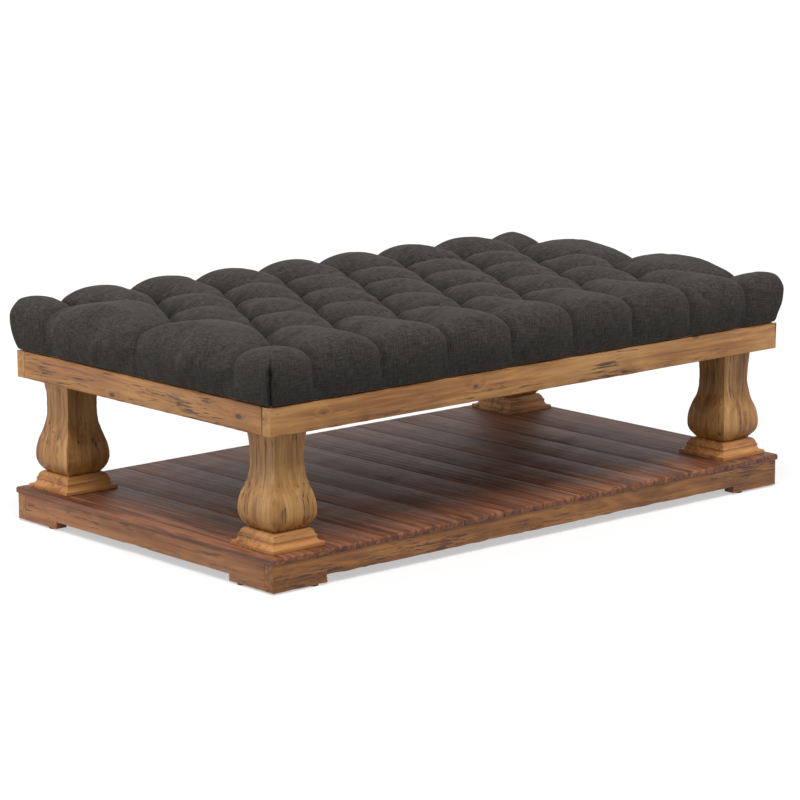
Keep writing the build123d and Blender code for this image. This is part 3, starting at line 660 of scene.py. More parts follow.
def side_outline():
    """Rows down the side: distance out, height, length of cloth so far, and the direction outwards."""
    rows = []
    for step in range(SHOULDER_STEPS + 1):
        turn = pi / 2 * step / SHOULDER_STEPS
        rows.append((SHOULDER_RADIUS * sin(turn), BELLY_HEIGHT + SHOULDER_RADIUS * cos(turn),
                     SHOULDER_RADIUS * turn, (sin(turn), cos(turn))))
    belly_radius = (BELLY_HEIGHT ** 2 + bulge ** 2) / (2 * bulge)
    full_turn = np.arcsin(BELLY_HEIGHT / belly_radius)
    for step in range(1, SIDE_STEPS + 1):
        turn = full_turn * step / SIDE_STEPS
        out = SHOULDER_RADIUS - belly_radius * (1 - cos(turn))
        rows.append((out, BELLY_HEIGHT - belly_radius * sin(turn),
                     SHOULDER_RADIUS * pi / 2 + belly_radius * turn, (cos(turn), -sin(turn))))
    return rows


outline = side_outline()
side_length = outline[-1][2]
print("rows down the side:", len(outline), "cloth length", round(side_length * 1000), "mm")

# %% [markdown]
# In the field, the points lie where lines along both families of folds cross, like the black squares of a
# chessboard, and each white square between them becomes one face. The top is crowned by a few
# millimetres, as foam under a tight cover is.

# %% The field of diamonds
FOLD_STEPS = 32
CROWN = 0.003

across = FOLD_STEPS * (LONG_ROW - 1)
upward = FOLD_STEPS * (ROWS - 1) // 2
step_x = half_pitch / FOLD_STEPS
step_y = row_spacing / FOLD_STEPS
patches = []


def add_patch(points, cloth, faces):
    """Keeps a patch: its points in space, their places on the flat cloth, and its faces."""
    patches.append((np.array(points, float), np.array(cloth, float), faces))


def top_point(x, y):
    """A point of the top, before any pull, on its slightly crowned surface."""
    crown = CROWN * (1 - (x / flat_x) ** 2) * (1 - (y / flat_y) ** 2)
    return x, y, base_z + crest + max(crown, 0.0)


squares = [(column, row) for row in range(-upward, upward + 1) for column in range(-across, across + 1)]
black = [square for square in squares if sum(square) % 2 == 0]
number = {square: index for index, square in enumerate(black)}
field_faces = []
for column, row in squares:
    if (row + column) % 2:
        around = [(column - 1, row), (column, row - 1), (column + 1, row), (column, row + 1)]
        face = [number[place] for place in around if place in number]
        if len(face) > 2:
            field_faces.append(tuple(face))
field = [(column * step_x, row * step_y) for column, row in black]
add_patch([top_point(x, y) for x, y in field], field, field_faces)
print("points in the field:", len(field))

# %% [markdown]
# Between the field and the edge there is a square grid on each side, and a smaller one in each corner. Its
# lines lie closer together towards the edge, where the cloth bends over the shoulder.

# %% The border on the top
BORDER_STEPS = 16
BORDER_GATHER = 1.5

inner_xs = [column * step_x for column in range(-across, across + 1, 2)]
inner_ys = [row * step_y for row in range(-upward, upward + 1, 2)]
shares = [1 - (1 - step / BORDER_STEPS) ** BORDER_GATHER for step in range(BORDER_STEPS + 1)]
border_x = [last_x + (flat_x - last_x) * share for share in shares]
border_y = [last_y + (flat_y - last_y) * share for share in shares]


def grid_faces(rows, columns, flip):
    """The faces of a grid of points, which are listed row by row."""
    faces = []
    for row in range(rows - 1):
        for column in range(columns - 1):
            first = row * columns + column
            face = (first, first + 1, first + columns + 1, first + columns)
            faces.append(face[::-1] if flip else face)
    return faces


def add_top_grid(points, columns, flip):
    """Adds a grid on the top, which lies flat before any pull."""
    add_patch([top_point(x, y) for x, y in points], points, grid_faces(len(shares), columns, flip))


for side in (-1, 1):
    add_top_grid([(x, side * y) for y in border_y for x in inner_xs], len(inner_xs), side < 0)
    add_top_grid([(side * x, y) for x in border_x for y in inner_ys], len(inner_ys), side > 0)
    for end in (-1, 1):
        add_top_grid([(side * x, end * y) for y in border_y for x in border_x], len(shares), side * end < 0)
print("patches on top:", len(patches), "points:", sum(len(points) for points, _, _ in patches))

# %% [markdown]
# The strips down the sides follow the outline row by row. At the corners they meet in a mitre, where the
# cover has its one upright seam.


# %% The sides
def mitred(values, last, end):
    """The places along one side, with the corner's share of columns added at both ends."""
    corner = [last + (end - last) * share for share in shares[1:]]
    return [-value for value in reversed(corner)] + list(values) + corner


for side in (-1, 1):
    for along_x in (True, False):
        points, cloth = [], []
        for out, height, length, _ in outline:
            if along_x:
                columns = mitred(inner_xs, last_x, flat_x + out)
                points += [(x, side * (flat_y + out), base_z + height) for x in columns]
                cloth += [(x, side * (flat_y + length)) for x in columns]
            else:
                columns = mitred(inner_ys, last_y, flat_y + out)
                points += [(side * (flat_x + out), y, base_z + height) for y in columns]
                cloth += [(side * (flat_x + length), y) for y in columns]
        add_patch(points, cloth, grid_faces(len(outline), len(columns), (side < 0) == along_x))
print("patches with the sides:", len(patches))

# %% [markdown]
# Under the table the cloth is turned in by a few fingers' width and stapled. The dust cover closes the
# rest, so the mesh steps up a little there and lets the dust cover show. The middle is closed with a strip
# of long faces from front to rear, because one fan of hundreds of faces would stall the subdivision later.
# On the flat cloth this part lies beyond all the others, so that no thread is laid out twice.

# %% The underside
TURNED_IN = 0.045
STEP_UP = 0.0008
UNDERSIDE_SHIFT = 3.0

rim = []
for along_x, side in ((True, -1), (False, 1), (True, 1), (False, -1)):
    if along_x:
        run = [(x, side * base_y) for x in mitred(inner_xs, last_x, base_x)]
    else:
        run = [(side * base_x, y) for y in mitred(inner_ys, last_y, base_y)]
    rim += (run if along_x == (side < 0) else run[::-1])[:-1]
rings = []
for turned, lift in ((0, 0), (TURNED_IN, 0), (TURNED_IN + STEP_UP, STEP_UP)):
    rings += [(x * (base_x - turned) / base_x, y * (base_y - turned) / base_y, base_z + lift)
              for x, y in rim]
count = len(rim)
faces = []
for ring in range(2):
    for first in range(count):
        second = (first + 1) % count
        faces.append((ring * count + second, ring * count + first,
                      (ring + 1) * count + first, (ring + 1) * count + second))
long_count = len(inner_xs) + 2 * BORDER_STEPS - 1
rear_left = count - len(inner_ys) - 2 * BORDER_STEPS + 1
closing = [(step, step + 1, rear_left - step - 1, rear_left - step) for step in range(1, long_count - 1)]
closing.append((0, 1, rear_left - 1, *range(rear_left, count)))
closing.append((long_count - 1, *range(long_count, rear_left - long_count + 2)))
faces += [tuple(2 * count + index for index in reversed(face)) for face in closing]
add_patch(rings, [(x, y + UNDERSIDE_SHIFT) for x, y, _ in rings], faces)
print("rim points:", count)

# %% [markdown]
# ## Pulling the cloth in
#
# Every point now moves along its own direction: the points of the top straight down, and those of the sides
# inwards. The corners are rounded in plan, more at the crest than at the bottom, because the foam's edge
# gives way most at the top.

# %% Round corners
CORNER_RADIUS_LOW = 0.005
CORNER_RADIUS_HIGH = 0.020


def rounded_corner(x, y, height, reach):
    """Turns the square corner of a row into a round one."""
    radius = CORNER_RADIUS_LOW + (CORNER_RADIUS_HIGH - CORNER_RADIUS_LOW) * np.clip(height / crest, 0, 1)
    near_x = np.abs(x) - (flat_x + reach - radius)
    near_y = np.abs(y) - (flat_y + reach - radius)
    inside = (near_x > 0) & (near_y > 0)
    longest = np.maximum(near_x, near_y)
    share = np.where(inside, longest / np.maximum(np.hypot(near_x, near_y), 1e-9), 1)
    new_x = np.where(inside, np.sign(x) * (flat_x + reach - radius + near_x * share), x)
    new_y = np.where(inside, np.sign(y) * (flat_y + reach - radius + near_y * share), y)
    return new_x, new_y


def outline_at(length):
    """Distance out and outward direction of the side at a length of cloth."""
    lengths = [row[2] for row in outline]
    columns = ([row[0] for row in outline], [row[3][0] for row in outline], [row[3][1] for row in outline])
    return [np.interp(length, lengths, values) for values in columns]


print("corner radius", CORNER_RADIUS_HIGH * 1000, "mm at the crest")

# %% [markdown]
# At each corner two sides of the cover are sewn together, and the thread pulls the cloth into a narrow
# upright groove. It starts below the crest, where the fold over the corner ends, and runs out just above
# the staples.

# %% The seams at the corners
SEAM_DEPTH = 0.0120
SEAM_WIDTH = 0.0040
SEAM_START, SEAM_FADE, SEAM_END = 0.015, 0.03, 0.004
DIAGONAL = 0.71


def seam_strength(place, height, reach, over_x, over_y):
    """1 in the corner's seam and 0 away from it, fading out at its top and bottom."""
    from_corner = np.where(over_x > over_y, flat_y + reach - np.abs(place[:, 1]),
                           flat_x + reach - np.abs(place[:, 0]))
    seam = np.exp(-(from_corner / SEAM_WIDTH) ** 2) * (np.maximum(over_x, over_y) > 0)
    below_start = np.clip((crest - SEAM_START - height) / SEAM_FADE, 0, 1)
    return seam * below_start * np.clip(height / SEAM_END, 0, 1)


print("seams", SEAM_DEPTH * 1000, "mm deep")

# %% [markdown]
# The folds grow shallow towards the apron, where the cloth is stapled flat. Little light reaches the bottom
# of a pit or a fold, so each point also notes how deep it lies in a fold, and the material paints shade
# there from it.

# %% The pull of a patch
UNEVEN_DEPTH, UNEVEN_SIZE = 0.0022, 0.16
SHALLOW_SHARE, SHALLOW_LENGTH, SHALLOW_POWER = 0.5, 0.07, 2.5
SHADE_WIDTH, PIT_SHADE_WIDTH = 0.0090, 0.0300
CREASE_SHADE, SEAM_SHADE, SHADE_FADE = 0.75, 0.9, 0.7


def pull_patch(place, x, y):
    """The pulled points of a patch, and how much painted shade each one gets in folds, pits and seams."""
    over_x = np.maximum(np.abs(x) - flat_x, 0)
    over_y = np.maximum(np.abs(y) - flat_y, 0)
    length = np.maximum(over_x, over_y)
    height = place[:, 2] - base_z
    reach, outwards, upwards = outline_at(length)
    new_x, new_y = rounded_corner(place[:, 0], place[:, 1], height, reach)
    fade = 1 - SHALLOW_SHARE * np.clip(length / SHALLOW_LENGTH, 0, 1)
    fade = fade * (1 - np.clip(length / side_length, 0, 1) ** SHALLOW_POWER)
    depth = pulled_down(x, y) * np.where(length > 0, fade, 1)
    depth = depth + UNEVEN_DEPTH * slow_noise(np.c_[x, y, 0 * x], UNEVEN_SIZE, 3) * fade
    way = np.where((over_x > over_y)[:, None], np.c_[np.sign(x), 0 * x], np.c_[0 * y, np.sign(y)])
    way = way * outwards[:, None]
    moved = np.c_[new_x - way[:, 0] * depth, new_y - way[:, 1] * depth, place[:, 2] - upwards * depth]
    seam = seam_strength(place, height, reach, over_x, over_y)
    moved[:, 0] -= np.sign(x) * SEAM_DEPTH * DIAGONAL * seam
    moved[:, 1] -= np.sign(y) * SEAM_DEPTH * DIAGONAL * seam
    # Painted shade: darkest near the fold lines, round each button and in the corner seams, and weaker down
    # the sides
    lower = 1 - SHADE_FADE * np.clip(length / side_length, 0, 1)
    shade = CREASE_SHADE * np.exp(-(nearest_fold(x, y) / SHADE_WIDTH) ** 2) * lower
    shade = np.maximum(shade, np.exp(-(nearest_button(x, y) / PIT_SHADE_WIDTH) ** 2))
    return moved, np.maximum(shade, SEAM_SHADE * seam)


print("pits shaded", PIT_SHADE_WIDTH * 1000, "mm round each button")

# %% [markdown]
# The last patch is the underside. It is stapled to the deck, so nothing pulls it.

# %% Pulling every patch
*cloth_patches, underside = patches
shaped, shades = [], []
for place, cloth, _ in cloth_patches:
    moved, shade = pull_patch(place, cloth[:, 0], cloth[:, 1])
    shaped.append(moved)
    shades.append(shade)
shaped.append(underside[0])
shades.append(np.zeros(len(underside[0])))
print("deepest point", round(min(float(points[:, 2].min()) for points in shaped[:9]) - base_z, 4))

# %% [markdown]
# ## Sewing and filling the cover
#
# The patches are joined into one closed cover. Points of different patches that lie at the same place
# before the pull are one point of the cover. A sewn cover has no open edge, and a count at the end of the
# cell shows whether this one has.

# %% The cover as one mesh
OFF_HALVES = 3.1e-6

laid = np.concatenate([place for place, _, _ in patches])
pulled = np.concatenate(shaped)
# Equal to a hundredth of a millimetre is the same point. The small shift keeps places off the halves
_, first_use, point = np.unique(np.round(laid + OFF_HALVES, 5), axis=0, return_index=True,
                                return_inverse=True)
point = point.ravel()
flat = laid[first_use]
uses = np.bincount(point)
start = np.stack([np.bincount(point, pulled[:, axis]) / uses for axis in range(3)], axis=1)
sewn_faces, sewn_uvs = [], []
offset = 0
for places, cloth, faces in patches:
    for face in faces:
        sewn_faces.append([int(point[offset + index]) for index in face])
        sewn_uvs += [tuple(cloth[index]) for index in face]
    offset += len(places)

cover = bpy.data.meshes.new("tufted_cushion")
cover.from_pydata(start.tolist(), [], sewn_faces)
cover.uv_layers.new(name="cloth").data.foreach_set("uv", np.array(sewn_uvs, dtype=np.float32).ravel())
cover.shade_smooth()
cushion = new_object("tufted_cushion", cover)
# The painted shade of each point goes to the mesh as the attribute named fold
painted_shade_attribute = cover.attributes.new("fold", "FLOAT", "POINT")
painted_shade_attribute.data.foreach_set("value", (np.bincount(point, np.concatenate(shades)) / uses).astype(np.float32))
check = bmesh.new()
check.from_mesh(cover)
open_edges = sum(not edge.is_manifold or not edge.is_contiguous for edge in check.edges)
inside_out = check.calc_volume(signed=True) < 0
check.free()
print("points:", len(start), "open or flipped edges:", open_edges, "inside out:", inside_out)

# %% [markdown]
# The cloth is then filled: a cloth simulation presses it outwards from inside. That gives the pillows the
# tight, slightly uneven swell that no formula has. What holds the cloth on the real cushion is held here
# too: the buttons, the folds between them, the seams at the corners and the stapled edge.

# %% What holds the cloth
FOLD_SHARE = 0.02
BUTTON_HOLD = 0.012
HOLD_START, HOLD_LENGTH, LEAST_HOLD = 0.05, 0.12, 0.4
SEAM_HOLD, SEAM_TOP, STAPLED = 0.001, 0.03, 0.0015
TOP_DEPTH = 0.004
ON_EDGE = 1e-5

cloth_x, cloth_y, cloth_z = flat.T
below_crest = base_z + crest - cloth_z
on_top = cloth_z > base_z + crest - TOP_DEPTH
within_x = np.abs(cloth_x) <= last_x + ON_EDGE
within_y = np.abs(cloth_y) <= last_y + ON_EDGE
in_field = on_top & within_x & within_y
along, over = cloth_x / half_pitch, cloth_y / row_spacing
on_diagonal = np.minimum(to_line(along - over, 1, 0), to_line(along + over, 1, 0)) < FOLD_SHARE
on_long_fold = to_line(cloth_x, half_pitch, 0) < FOLD_SHARE
on_end_fold = to_line(cloth_y, row_spacing, 1) < FOLD_SHARE
side_hold = np.clip(1 - (below_crest - HOLD_START) / HOLD_LENGTH, LEAST_HOLD, 1)

held = np.where(in_field & on_diagonal, 1.0, 0.0)
held = np.where(~in_field & within_x & on_long_fold, np.maximum(held, side_hold), held)
held = np.where(~in_field & within_y & on_end_fold, np.maximum(held, side_hold), held)
held = np.where(nearest_button(cloth_x, cloth_y) < BUTTON_HOLD, on_top * 1.0, held)
reach = np.interp(cloth_z, [row[1] + base_z for row in outline[::-1]], [row[0] for row in outline[::-1]])
from_seam = np.maximum(np.abs(flat_x + reach - np.abs(cloth_x)), np.abs(flat_y + reach - np.abs(cloth_y)))
held = np.where((from_seam < SEAM_HOLD) & (cloth_z < base_z + crest - SEAM_TOP), 1, held)
held = np.where(cloth_z < base_z + STAPLED, 1, held)
group = cushion.vertex_groups.new(name="held")
for weight in np.unique(np.round(held[held > 0], 1)):
    members = np.flatnonzero(np.round(held, 1) == weight)
    group.add([int(index) for index in members], float(weight), "REPLACE")
print("held points:", int((held > 0).sum()), "of", len(held))

# %% [markdown]
# The cloth is a heavy linen: it hardly stretches, but shears and bends easily. It is cut two in a hundred
# too large, so that it can swell. Gravity is off, because the foam carries the cloth.

# %% The simulation
FRAMES = 20
CLOTH_SETTINGS = {
    "quality": 4, "mass": 0.25, "tension_stiffness": 18, "compression_stiffness": 18, "shear_stiffness": 4,
    "bending_stiffness": 0.3, "use_pressure": True, "uniform_pressure_force": 3.5, "shrink_min": -0.02,
    "vertex_group_mass": "held", "pin_stiffness": 1.0}


def filled_cover():
    """Where the points of the cover are after the simulation."""
    filling = cushion.modifiers.new("filling", "CLOTH")
    for name, value in CLOTH_SETTINGS.items():
        setattr(filling.settings, name, value)
    filling.settings.effector_weights.gravity = 0
    filling.collision_settings.use_collision = False
    scene.frame_start, scene.frame_end = 1, FRAMES
    for step in range(1, FRAMES + 1):
        scene.frame_set(step)
    result = cushion.evaluated_get(bpy.context.evaluated_depsgraph_get()).data
    filled = np.empty(len(start) * 3, dtype=np.float32)
    result.vertices.foreach_get("co", filled)
    cushion.modifiers.remove(filling)
    scene.frame_set(1)
    return filled.reshape(-1, 3)


print("the simulation runs", FRAMES, "frames")

# %% [markdown]
# A short run is enough, and no point may move far from where the formula put it. The filled cover is then
# made finer once, which rounds the small facets but keeps the folds, and stands in for the plain cover.

# %% Filling the cover
MOST_MOVEMENT = 0.009

moved = filled_cover() - start
distance = np.linalg.norm(moved, axis=1)
share = np.minimum(1, MOST_MOVEMENT / np.maximum(distance, 1e-9))
cover.vertices.foreach_set("co", (start + moved * share[:, None]).astype(np.float32).ravel())
cover.update()
print("moved up to", round(distance.max() * 1000, 1), "mm, mean", round(distance.mean() * 1000, 1))
cushion.vertex_groups.clear()
finer = cushion.modifiers.new("finer", "SUBSURF")
finer.levels = finer.render_levels = 1
finer.uv_smooth = "NONE"
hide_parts("cushion_cover")
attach(cushion, "root")
print("faces before the subdivision:", len(cover.polygons))

# %% [markdown]
# ## Charcoal linen
#
# The cover is woven of linen-look yarn that is thicker in some places than in others. The weave leaves
# short light and dark dashes in both directions, which are these slubs, and a rough surface with almost no
# gloss, only a soft sheen where the cloth turns away. The real yarn is about a millimetre thick, finer than
# the picture can show, so the threads are drawn about twice as coarse. On the cushion the pattern reads
# the cloth's own UV map, in metres.

# %% Yarn in two directions
THREAD = 0.0022
SLUB_LENGTH = 0.022
WEFT_SHARE = 0.8
FUZZ = 0.0016
CLOUD = 0.12
WEAVE_WEIGHT, FUZZ_WEIGHT, CLOUD_WEIGHT = 0.75, 0.17, 0.08


def weave_noises(tree, place):
    """How light the yarns are, and that again with fuzz and slow changes of the dye."""
    yarns = []
    for long, wide in ((SLUB_LENGTH, THREAD), (THREAD, SLUB_LENGTH * WEFT_SHARE)):
        scaled = add(tree, VECTOR, {0: place, 1: (1 / long, 1 / wide, 1 / THREAD)}, operation="MULTIPLY")
        yarns.append(add(tree, NOISE, {"Vector": scaled, "Scale": 1.0, "Detail": 3.0, "Roughness": 0.6}))
    half = add(tree, MATH, {0: yarns[0], 1: 0.5}, operation="MULTIPLY")
    weave = add(tree, MATH, {0: yarns[1], 1: 0.5, 2: half}, operation="MULTIPLY_ADD")
    total = add(tree, MATH, {0: weave, 1: WEAVE_WEIGHT}, operation="MULTIPLY")
    for size, detail, weight in ((FUZZ, 1.0, FUZZ_WEIGHT), (CLOUD, 2.0, CLOUD_WEIGHT)):
        scaled = add(tree, VECTOR, {0: place, "Scale": 1 / size}, operation="SCALE")
        value = add(tree, NOISE, {"Vector": scaled, "Scale": 1.0, "Detail": detail, "Roughness": 0.5})
        total = add(tree, MATH, {0: value, 1: weight, 2: total}, operation="MULTIPLY_ADD")
    return weave, total


print("threads", THREAD * 1000, "mm, slubs", SLUB_LENGTH * 1000, "mm")

# %% [markdown]
# Folds, pits and the corner seams get painted shade from the depth that each point has noted. A button is
# too small for folds, and its mesh has no UV map, so its linen reads the place in space instead.

# %% Linen for the cushion and the buttons
FOLD_SHADE = 0.72
YARN_RELIEF = 0.0010


def linen(name, dark, middle, light, on_cushion):
    """Dyed linen with slubs. On the cushion it follows the cloth and has painted shade in the folds and
    pits.
    """
    material, tree = new_material(name)
    if on_cushion:
        place = add(tree, "ShaderNodeUVMap", uv_map="cloth")
    else:
        place = add(tree, "ShaderNodeTexCoord", output="Object")
    weave, tone = weave_noises(tree, place)
    colour = add(tree, RAMP, {"Fac": tone},
                 stops=[(0.37, linear(dark)), (0.50, linear(middle)), (0.66, linear(light))])
    if on_cushion:
        # Painted shade: the fold attribute mixes the linen towards near black in folds, pits and seams
        fold = add(tree, "ShaderNodeAttribute", output="Fac", attribute_name="fold")
        shade = add(tree, MATH, {0: fold, 1: FOLD_SHADE}, operation="MULTIPLY")
        colour = add(tree, MIX, {0: shade, 6: colour, 7: linear("100e0d")}, output=2, data_type="RGBA")
    relief = add(tree, BUMP, {"Height": weave, "Strength": BUMP_STRENGTH, "Distance": YARN_RELIEF})
    surface = add(tree, SURFACE, {
        "Base Color": colour, "Roughness": 0.92, "Specular IOR Level": 0.25, "Sheen Weight": 0.08,
        "Sheen Roughness": 0.5, "Sheen Tint": linear("8d8780"), "Normal": relief})
    add(tree, OUTPUT, {"Surface": surface})
    return material


charcoal_linen = linen("woven_charcoal_linen", "1d1b19", "393633", "5a5651", on_cushion=True)
button_linen = linen("button_linen", "242220", "3b3835", "544f4b", on_cushion=False)
cover.materials.append(charcoal_linen)
print("linen made:", charcoal_linen.name, "and", button_linen.name)

# %% [markdown]
# ## Covered buttons
#
# Each button is a shallow dome covered in the same linen, gathered in small pleats round its rim. All of
# them are alike and sit at the points of two grids, eight by three and seven by two, so Geometry Nodes
# makes one button and sets a copy at each point of the grids. The first half of the tree shapes the one
# button: a small ball is pressed flat, and a wave of its angle pushes the rim in and out.

# %% One button in Geometry Nodes
BUTTON_HEIGHT = 0.007
PLEATS = 9
PLEAT_DEPTH = 0.035
PLEATS_START, PLEATS_FULL = 0.75, -0.1
RIM_SHARE = 0.96
SIZES = {"Radius": BUTTON_RADIUS, "Height": BUTTON_HEIGHT, "Length": 2 * last_x, "Depth": 2 * last_y}

tree = bpy.data.node_groups.new("covered_buttons", "GeometryNodeTree")
sockets = {}
for title, value in SIZES.items():
    sockets[title] = tree.interface.new_socket(title, in_out="INPUT", socket_type="NodeSocketFloat")
    sockets[title].default_value = value
tree.interface.new_socket("Geometry", in_out="OUTPUT", socket_type="NodeSocketGeometry")
given = add(tree, "NodeGroupInput").node.outputs

ball = add(tree, "GeometryNodeMeshUVSphere", {"Segments": 18, "Rings": 8, "Radius": given["Radius"]})
place = add(tree, "ShaderNodeSeparateXYZ", {0: add(tree, "GeometryNodeInputPosition")}).node.outputs
angle = add(tree, MATH, {0: place["Y"], 1: place["X"]}, operation="ARCTAN2")
turn = add(tree, MATH, {0: angle, 1: PLEATS}, operation="MULTIPLY")
wave = add(tree, MATH, {0: turn}, operation="COSINE")
level = add(tree, MATH, {0: place["Z"], 1: given["Radius"]}, operation="DIVIDE")
low = add(tree, RANGE, {"Value": level, "From Min": PLEATS_START, "From Max": PLEATS_FULL},
          interpolation_type="SMOOTHSTEP")
depth = add(tree, MATH, {0: low, 1: PLEAT_DEPTH}, operation="MULTIPLY")
spread = add(tree, MATH, {0: wave, 1: depth, 2: RIM_SHARE}, operation="MULTIPLY_ADD")
width = add(tree, MATH, {0: given["Radius"], 1: 2.0}, operation="MULTIPLY")
flatten = add(tree, MATH, {0: given["Height"], 1: width}, operation="DIVIDE")
pressed = add(tree, "ShaderNodeCombineXYZ", {
    axis: add(tree, MATH, {0: place[axis], 1: factor}, operation="MULTIPLY")
    for axis, factor in (("X", spread), ("Y", spread), ("Z", flatten))})
button = add(tree, "GeometryNodeSetPosition", {"Geometry": ball, "Position": pressed})
print("nodes for one button:", len(tree.nodes))

# %% [markdown]
# The second half sets a copy at each point of the two grids, turned at random with a fixed seed, so the
# pleats of two buttons don't line up. The copies are made real and get their linen, and the finished mesh
# is lifted to the seats of the buttons.

# %% All the buttons
joined = add(tree, "GeometryNodeJoinGeometry")
for columns, rows, long_share, deep_share in ((LONG_ROW, 3, 1.0, 1.0),
                                              (LONG_ROW - 1, 2, (LONG_ROW - 2) / (LONG_ROW - 1), 0.5)):
    grid = add(tree, "GeometryNodeMeshGrid", {
        "Size X": add(tree, MATH, {0: given["Length"], 1: long_share}, operation="MULTIPLY"),
        "Size Y": add(tree, MATH, {0: given["Depth"], 1: deep_share}, operation="MULTIPLY"),
        "Vertices X": columns, "Vertices Y": rows})
    turn = add(tree, "FunctionNodeRandomValue", {"Max": 2 * pi, "Seed": 4}, output=1, data_type="FLOAT")
    turned = add(tree, "ShaderNodeCombineXYZ", {"Z": turn})
    copies = add(tree, "GeometryNodeInstanceOnPoints",
                 {"Points": grid, "Instance": button, "Rotation": turned})
    tree.links.new(copies, joined.node.inputs[0])
real = add(tree, "GeometryNodeRealizeInstances", {0: joined})
lifted = add(tree, "GeometryNodeTransform", {
    "Geometry": real, "Translation": (0, 0, buttons_low.z + BUTTON_HEIGHT / 2)})
smooth = add(tree, "GeometryNodeSetShadeSmooth", {0: lifted})
dressed = add(tree, "GeometryNodeSetMaterial", {"Geometry": smooth, "Material": button_linen})
add(tree, "NodeGroupOutput", {0: dressed})

maker = new_object("button_maker", bpy.data.meshes.new("button_maker"))
modifier = maker.modifiers.new("buttons", "NODES")
modifier.node_group = tree
for title, value in SIZES.items():
    modifier[sockets[title].identifier] = value
made = bpy.data.meshes.new_from_object(maker.evaluated_get(bpy.context.evaluated_depsgraph_get()))
bpy.data.objects.remove(maker)
buttons = new_object("covered_buttons", made)
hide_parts("tuft_buttons")
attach(buttons, "root")
print("buttons:", len(made.vertices), "points,", len(made.materials), "materials")

# %% [markdown]
# ## Everything that is hidden or small
#
# The rest of the table is seen only from below or not at all: twine, lining, plywood, bolts and glides.
# Each of these finishes is two tones of one material in a fine noise, which is also its relief. What
# differs is the size of the grain, how far it is stretched, the gloss, and whether it is a metal.

# %% A finish of two tones
FIBRE_RELIEF = 0.0003
PLATED_RELIEF = 0.00005
MOULDED_RELIEF = 0.00008


def two_toned(name, dark, light, grain, roughness, relief, metallic=0.0, stretch=(1, 1, 1), detail=3.0):
    """A finish whose dark and light grains are about this large, in metres."""
    material, tree = new_material(name)
    place = add(tree, "ShaderNodeTexCoord", output="Object")
    scale = tuple(part / grain for part in stretch)
    scaled = add(tree, VECTOR, {0: place, 1: scale}, operation="MULTIPLY")
    value = add(tree, NOISE, {"Vector": scaled, "Scale": 1.0, "Detail": detail, "Roughness": 0.6})
    colour = add(tree, RAMP, {"Fac": value}, stops=[(0.3, linear(dark)), (0.7, linear(light))])
    raised = add(tree, BUMP, {"Height": value, "Strength": BUMP_STRENGTH, "Distance": relief})
    surface = add(tree, SURFACE, {"Base Color": colour, "Roughness": roughness, "Metallic": metallic,
                                  "Normal": raised})
    add(tree, OUTPUT, {"Surface": surface})
    return material


print("relief, mm:", FIBRE_RELIEF * 1000, "of fibres,", PLATED_RELIEF * 1000, "of plating")

# %% [markdown]
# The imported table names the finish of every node, so a dictionary with the same names is enough to dress
# them all. The finest grains are under a millimetre on the real table, and are drawn as coarse as they
# need to show.

# %% The hidden finishes
FINISHES = {
    # Twisted cotton, drawn through wax: dull and pale, with short specks along the thread from its twist
    "twine": two_toned("waxed_cotton_twine", "8d8063", "b7a988", 0.0015, 0.7, FIBRE_RELIEF,
                       stretch=(1, 1, 0.3)),
    # Plastic fibres laid on a belt and pressed hot: flat black with a felt-like speckle and no gloss
    "black_lining": two_toned("spunbonded_polypropylene", "141414", "242424", 0.0012, 0.9, FIBRE_RELIEF),
    # Veneers peeled from a turning log and glued: long pale and brown streaks, sanded but not waxed
    "plywood": two_toned("birch_plywood", "b58a58", "d8b684", 0.006, 0.65, FIBRE_RELIEF,
                         stretch=(0.06, 1, 1)),
    # Steel plated with zinc in a bath: light grey with faint clouds, and a satin gloss
    "zinc_steel": two_toned("zinc_plated_steel", "9fa3a6", "c6cacc", 0.004, 0.35, PLATED_RELIEF,
                            metallic=1.0),
    # Nylon injected into a textured mould: nearly black, with a very fine grain and a satin gloss
    "black_plastic": two_toned("moulded_nylon", "0e0e0e", "1b1b1b", 0.0008, 0.45, MOULDED_RELIEF),
    # Blocks and battens were sawn from fresh pine and left bare, so they are the palest wood
    "inner_pine": inner_pine,
    # The same waxed wood as on the worn pieces, for any node that still shows its own mesh
    "shelf_pine": shelf_pine,
    "base_pine": base_long,
    "apron_pine": apron_long,
}
dressed_slots = 0
for item in nodes.values():
    for slot in item.material_slots:
        if slot.material and slot.material.name in FINISHES:
            slot.material = FINISHES[slot.material.name]
            dressed_slots += 1
print("slots dressed:", dressed_slots)

# %% [markdown]
# ## The foam slab
#
# The foam is cut from a block by a wire, which leaves flat faces of open cells, and the tight cover presses
# its long edges round. The slab keeps the solid's shape and only gets those rounds.

# %% The foam slab
FOAM_ROUND = 0.004
FOAM_SHORTEST = 0.03

foam, mesh = loose_copy("foam_slab", "foam_pad")
outer = [edge for edge in mesh.edges
         if edge.calc_length() > FOAM_SHORTEST and edge.calc_face_angle(0) > radians(60)]
bmesh.ops.bevel(mesh, geom=outer, offset=FOAM_ROUND, segments=3, profile=0.5, affect="EDGES")
mesh.to_mesh(foam.data)
mesh.free()
# The real cells are half a millimetre wide, and are drawn at two so that they show
foam_cells = two_toned("cut_polyurethane_foam", "c9b98c", "e9ddb9", 0.0018, 0.95, 0.0006, detail=4.0)
finish_with(foam, foam_cells)
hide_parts("foam_pad")
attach(foam, "root")
print("foam slab with", len(foam.data.polygons), "faces")

# %% [markdown]
# ## Studio floor
#
# The table stands on white paper, as in a catalogue picture. The camera sees the paper at full white, also
# in a reflection, but the light that bounces off it reaches the table as from a grey floor, or the wood
# and the cloth would look lit from below. Half of what the camera sees glows by itself, which keeps the
# shadow soft.

# %% The paper floor
FLOOR_HALF = 40.0
SHADOW_FILL = 0.5
CORNERS = ((-1, -1), (1, -1), (1, 1), (-1, 1))


